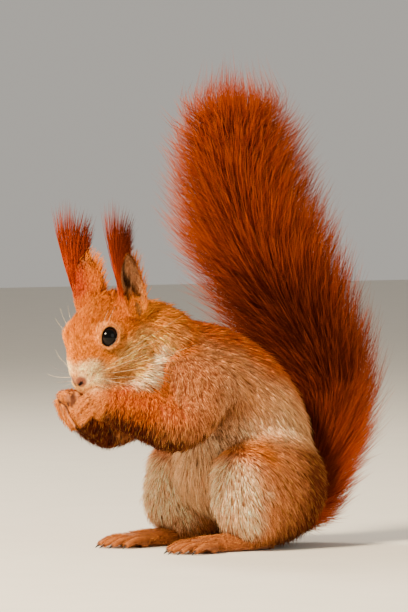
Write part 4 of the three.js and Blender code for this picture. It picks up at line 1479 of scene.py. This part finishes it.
def ear_tuft(side, sign, count, seed):
    """Most hairs leave the ear's front edge and top and end along lines that fan out above the ear,
    tallest in front, with some looser wisps. The rest are short and fringe its back edge."""
    random = np.random.default_rng(seed)
    root, along, out, across = ear_frame(sign)
    front = -sign * across
    fan = (np.linspace(-10, 15, 15) + random.normal(0, 0.6, 15))[random.integers(0, 15, count)]
    wisp = random.uniform(0, 1, count) < 0.17
    fan = np.where(wisp, np.linspace(-8, 15, 8)[random.integers(0, 8, count)] + random.normal(0, 0.5, count), fan)
    tall = np.interp(fan, [-10, 0, 6, 15], [18, 25, TALLEST_HAIR, 28])
    tall = tall * np.where(wisp, random.uniform(0.55, 1.08, count), 1.05 - 0.95 * random.uniform(0, 1, count) ** 0.4)
    fringe = random.uniform(0, 1, count) < 0.18
    v = np.clip(1 - 0.033 * (fan + 7) - 0.25 * random.uniform(0, 1, count) ** 2, 0.05, 1)
    v = np.where(fringe, random.uniform(0.1, 0.97, count), v)
    edge = sign * np.where(fringe, 1, -1) * random.uniform(0.55, 1, count)
    edge = np.where(v > 0.86, sign * random.uniform(-1, 1, count), edge)
    angle = edge * EAR_CURL * (1 - 0.45 * v)
    wall = ear_wall(v)
    start = root + (EAR_LENGTH * v)[:, None] * along + (wall * np.sin(angle))[:, None] * across
    start = start - (EAR_FLATTEN * wall * np.cos(angle))[:, None] * out
    apex = root + (EAR_LENGTH + 0.5) * along
    share = tall / TALLEST_HAIR
    tip = apex + tall[:, None] * unit(at(0, 0.08, 1)) + (fan * (0.35 + 0.65 * share))[:, None] * front
    short = start + random.uniform(4, 9, (count, 1)) * unit(along - 0.55 * front + random.normal(0, 0.16, (count, 3)))
    tip = tip + random.normal(-0.4, 0.9, (count, 1)) * out
    tip = np.where(fringe[:, None], short, tip) + random.normal(0, 0.45, (count, 3))
    bend = np.where(fringe, 0.4, 1.6)[:, None] * front
    spines = np.stack([start + (tip - start) * t + np.sin(np.pi * t) * bend for t in (0, 0.35, 0.7, 1.0)], 1)
    width = np.array([[0.11, 0.08]]) * random.uniform(0.7, 1.2, (count, 1)) * np.where(wisp, 1.4, 1)[:, None]
    dark = np.where(fringe, 0.1, ramp(v, 0.2, 0.9) * random.uniform(0.4, 1, count))
    base = mix(np.where(fringe[:, None], FUR["ear back"], FUR["ear"]), FUR["ear tip"], dark)
    base = base * random.uniform(0.8, 1.25, (count, 1))
    end = mix(base, np.where(fringe[:, None], FUR["ear back"], FUR["ear tip"]), np.full(count, 0.75))
    tints = np.stack([mix(base, FUR["ear"], np.full(count, 0.7)), base, mix(base, end, np.full(count, 0.6)), end], 1)
    outs = -np.broadcast_to(out, (count, 3))
    only = ["ear_tuft_" + side]
    tufts("ear_hair_" + side, spines, outs, width, tints, spread_out(angle, v), "ear", only=only)


for side, sign in SIDES:
    ear_tuft(side, sign, 1150, 41)
coat_faces = sum(len(o.data.polygons) for o in bpy.data.objects if o.name.startswith(("fur_", "brush_", "ear_hair_")))
print("whole coat:", coat_faces, "faces")

# %% [markdown]
# ## Floor, light and camera
#
# A wide soft light high on the left in front, a fill from the right and a rim light behind give the
# coat its depth. The camera stands far off with a long lens, as one does with a shy animal.

# %% Floor
floor_mesh = bpy.data.meshes.new("floor")
FLOOR_HALF = 4  # metres
floor_corners = [(FLOOR_HALF * x, FLOOR_HALF * y, 0) for x, y in ((-1, -1), (1, -1), (1, 1), (-1, 1))]
floor_mesh.from_pydata(floor_corners, [], [(0, 1, 2, 3)])
floor = bpy.data.objects.new("floor", floor_mesh)
bpy.context.scene.collection.objects.link(floor)
floor_mesh.materials.append(finish_of("floor", 30, 0.02, colour=tone(214, 208, 198), Roughness=0.8))

# %% Camera
VIEW_TURN, VIEW_RISE, VIEW_DISTANCE = np.radians(52), np.radians(1.7), 3000.0
SENSOR = 36
MM_PER_PIXEL, IMAGE_WIDTH, IMAGE_HEIGHT = 0.5, 408, 612
ORIGIN_PIXEL = (220.0, 547.0)
camera_back = at(np.sin(VIEW_TURN) * np.cos(VIEW_RISE), np.cos(VIEW_TURN) * np.cos(VIEW_RISE), np.sin(VIEW_RISE))
camera_right = np.array([np.cos(VIEW_TURN), np.sin(VIEW_TURN), 0])
camera_up = np.cross(camera_back, camera_right)
aim = (IMAGE_WIDTH / 2 - ORIGIN_PIXEL[0]) * MM_PER_PIXEL * camera_right
aim = aim + (ORIGIN_PIXEL[1] - IMAGE_HEIGHT / 2) * MM_PER_PIXEL * camera_up + SHIFT


def aimed(name, data, place, target):
    """Puts a lamp or camera at a place, in millimetres, turned to its target."""
    thing = bpy.data.objects.new(name, data)
    bpy.context.scene.collection.objects.link(thing)
    thing.location = Vector(place * MM)
    thing.rotation_euler = Vector((place - target) * MM).to_track_quat("Z", "Y").to_euler()
    return thing


camera_data = bpy.data.cameras.new("camera")
camera_data.sensor_width = SENSOR
camera_data.lens = SENSOR * VIEW_DISTANCE / (IMAGE_HEIGHT * MM_PER_PIXEL)
camera_data.clip_end = 50
camera = aimed("camera", camera_data, aim + VIEW_DISTANCE * camera_back, aim)
bpy.context.scene.camera = camera


# %% Lights
def lamp(name, right, up, back, size, power, colour):
    data = bpy.data.lights.new(name, "AREA")
    data.shape, data.size, data.energy, data.color = "DISK", size, power, colour
    place = aim + 1000 * (right * camera_right + up * at(0, 0, 1) + back * camera_back)
    return aimed(name, data, place, aim)


lamp("key", -0.85, 1.05, 0.95, 0.45, 100, (1.0, 0.83, 0.58))
lamp("fill", 1.2, 0.5, 1.0, 1.2, 7, (1.0, 0.93, 0.82))
lamp("rim", -0.9, 0.9, -0.9, 0.6, 26, (1.0, 0.9, 0.74))
world = bpy.data.worlds.new("studio")
bpy.context.scene.world = world
world.use_nodes = True
sky = world.node_tree.nodes["Background"]
sky.inputs["Color"].default_value = (0.95, 0.9, 0.82, 1)
sky.inputs["Strength"].default_value = 0.5
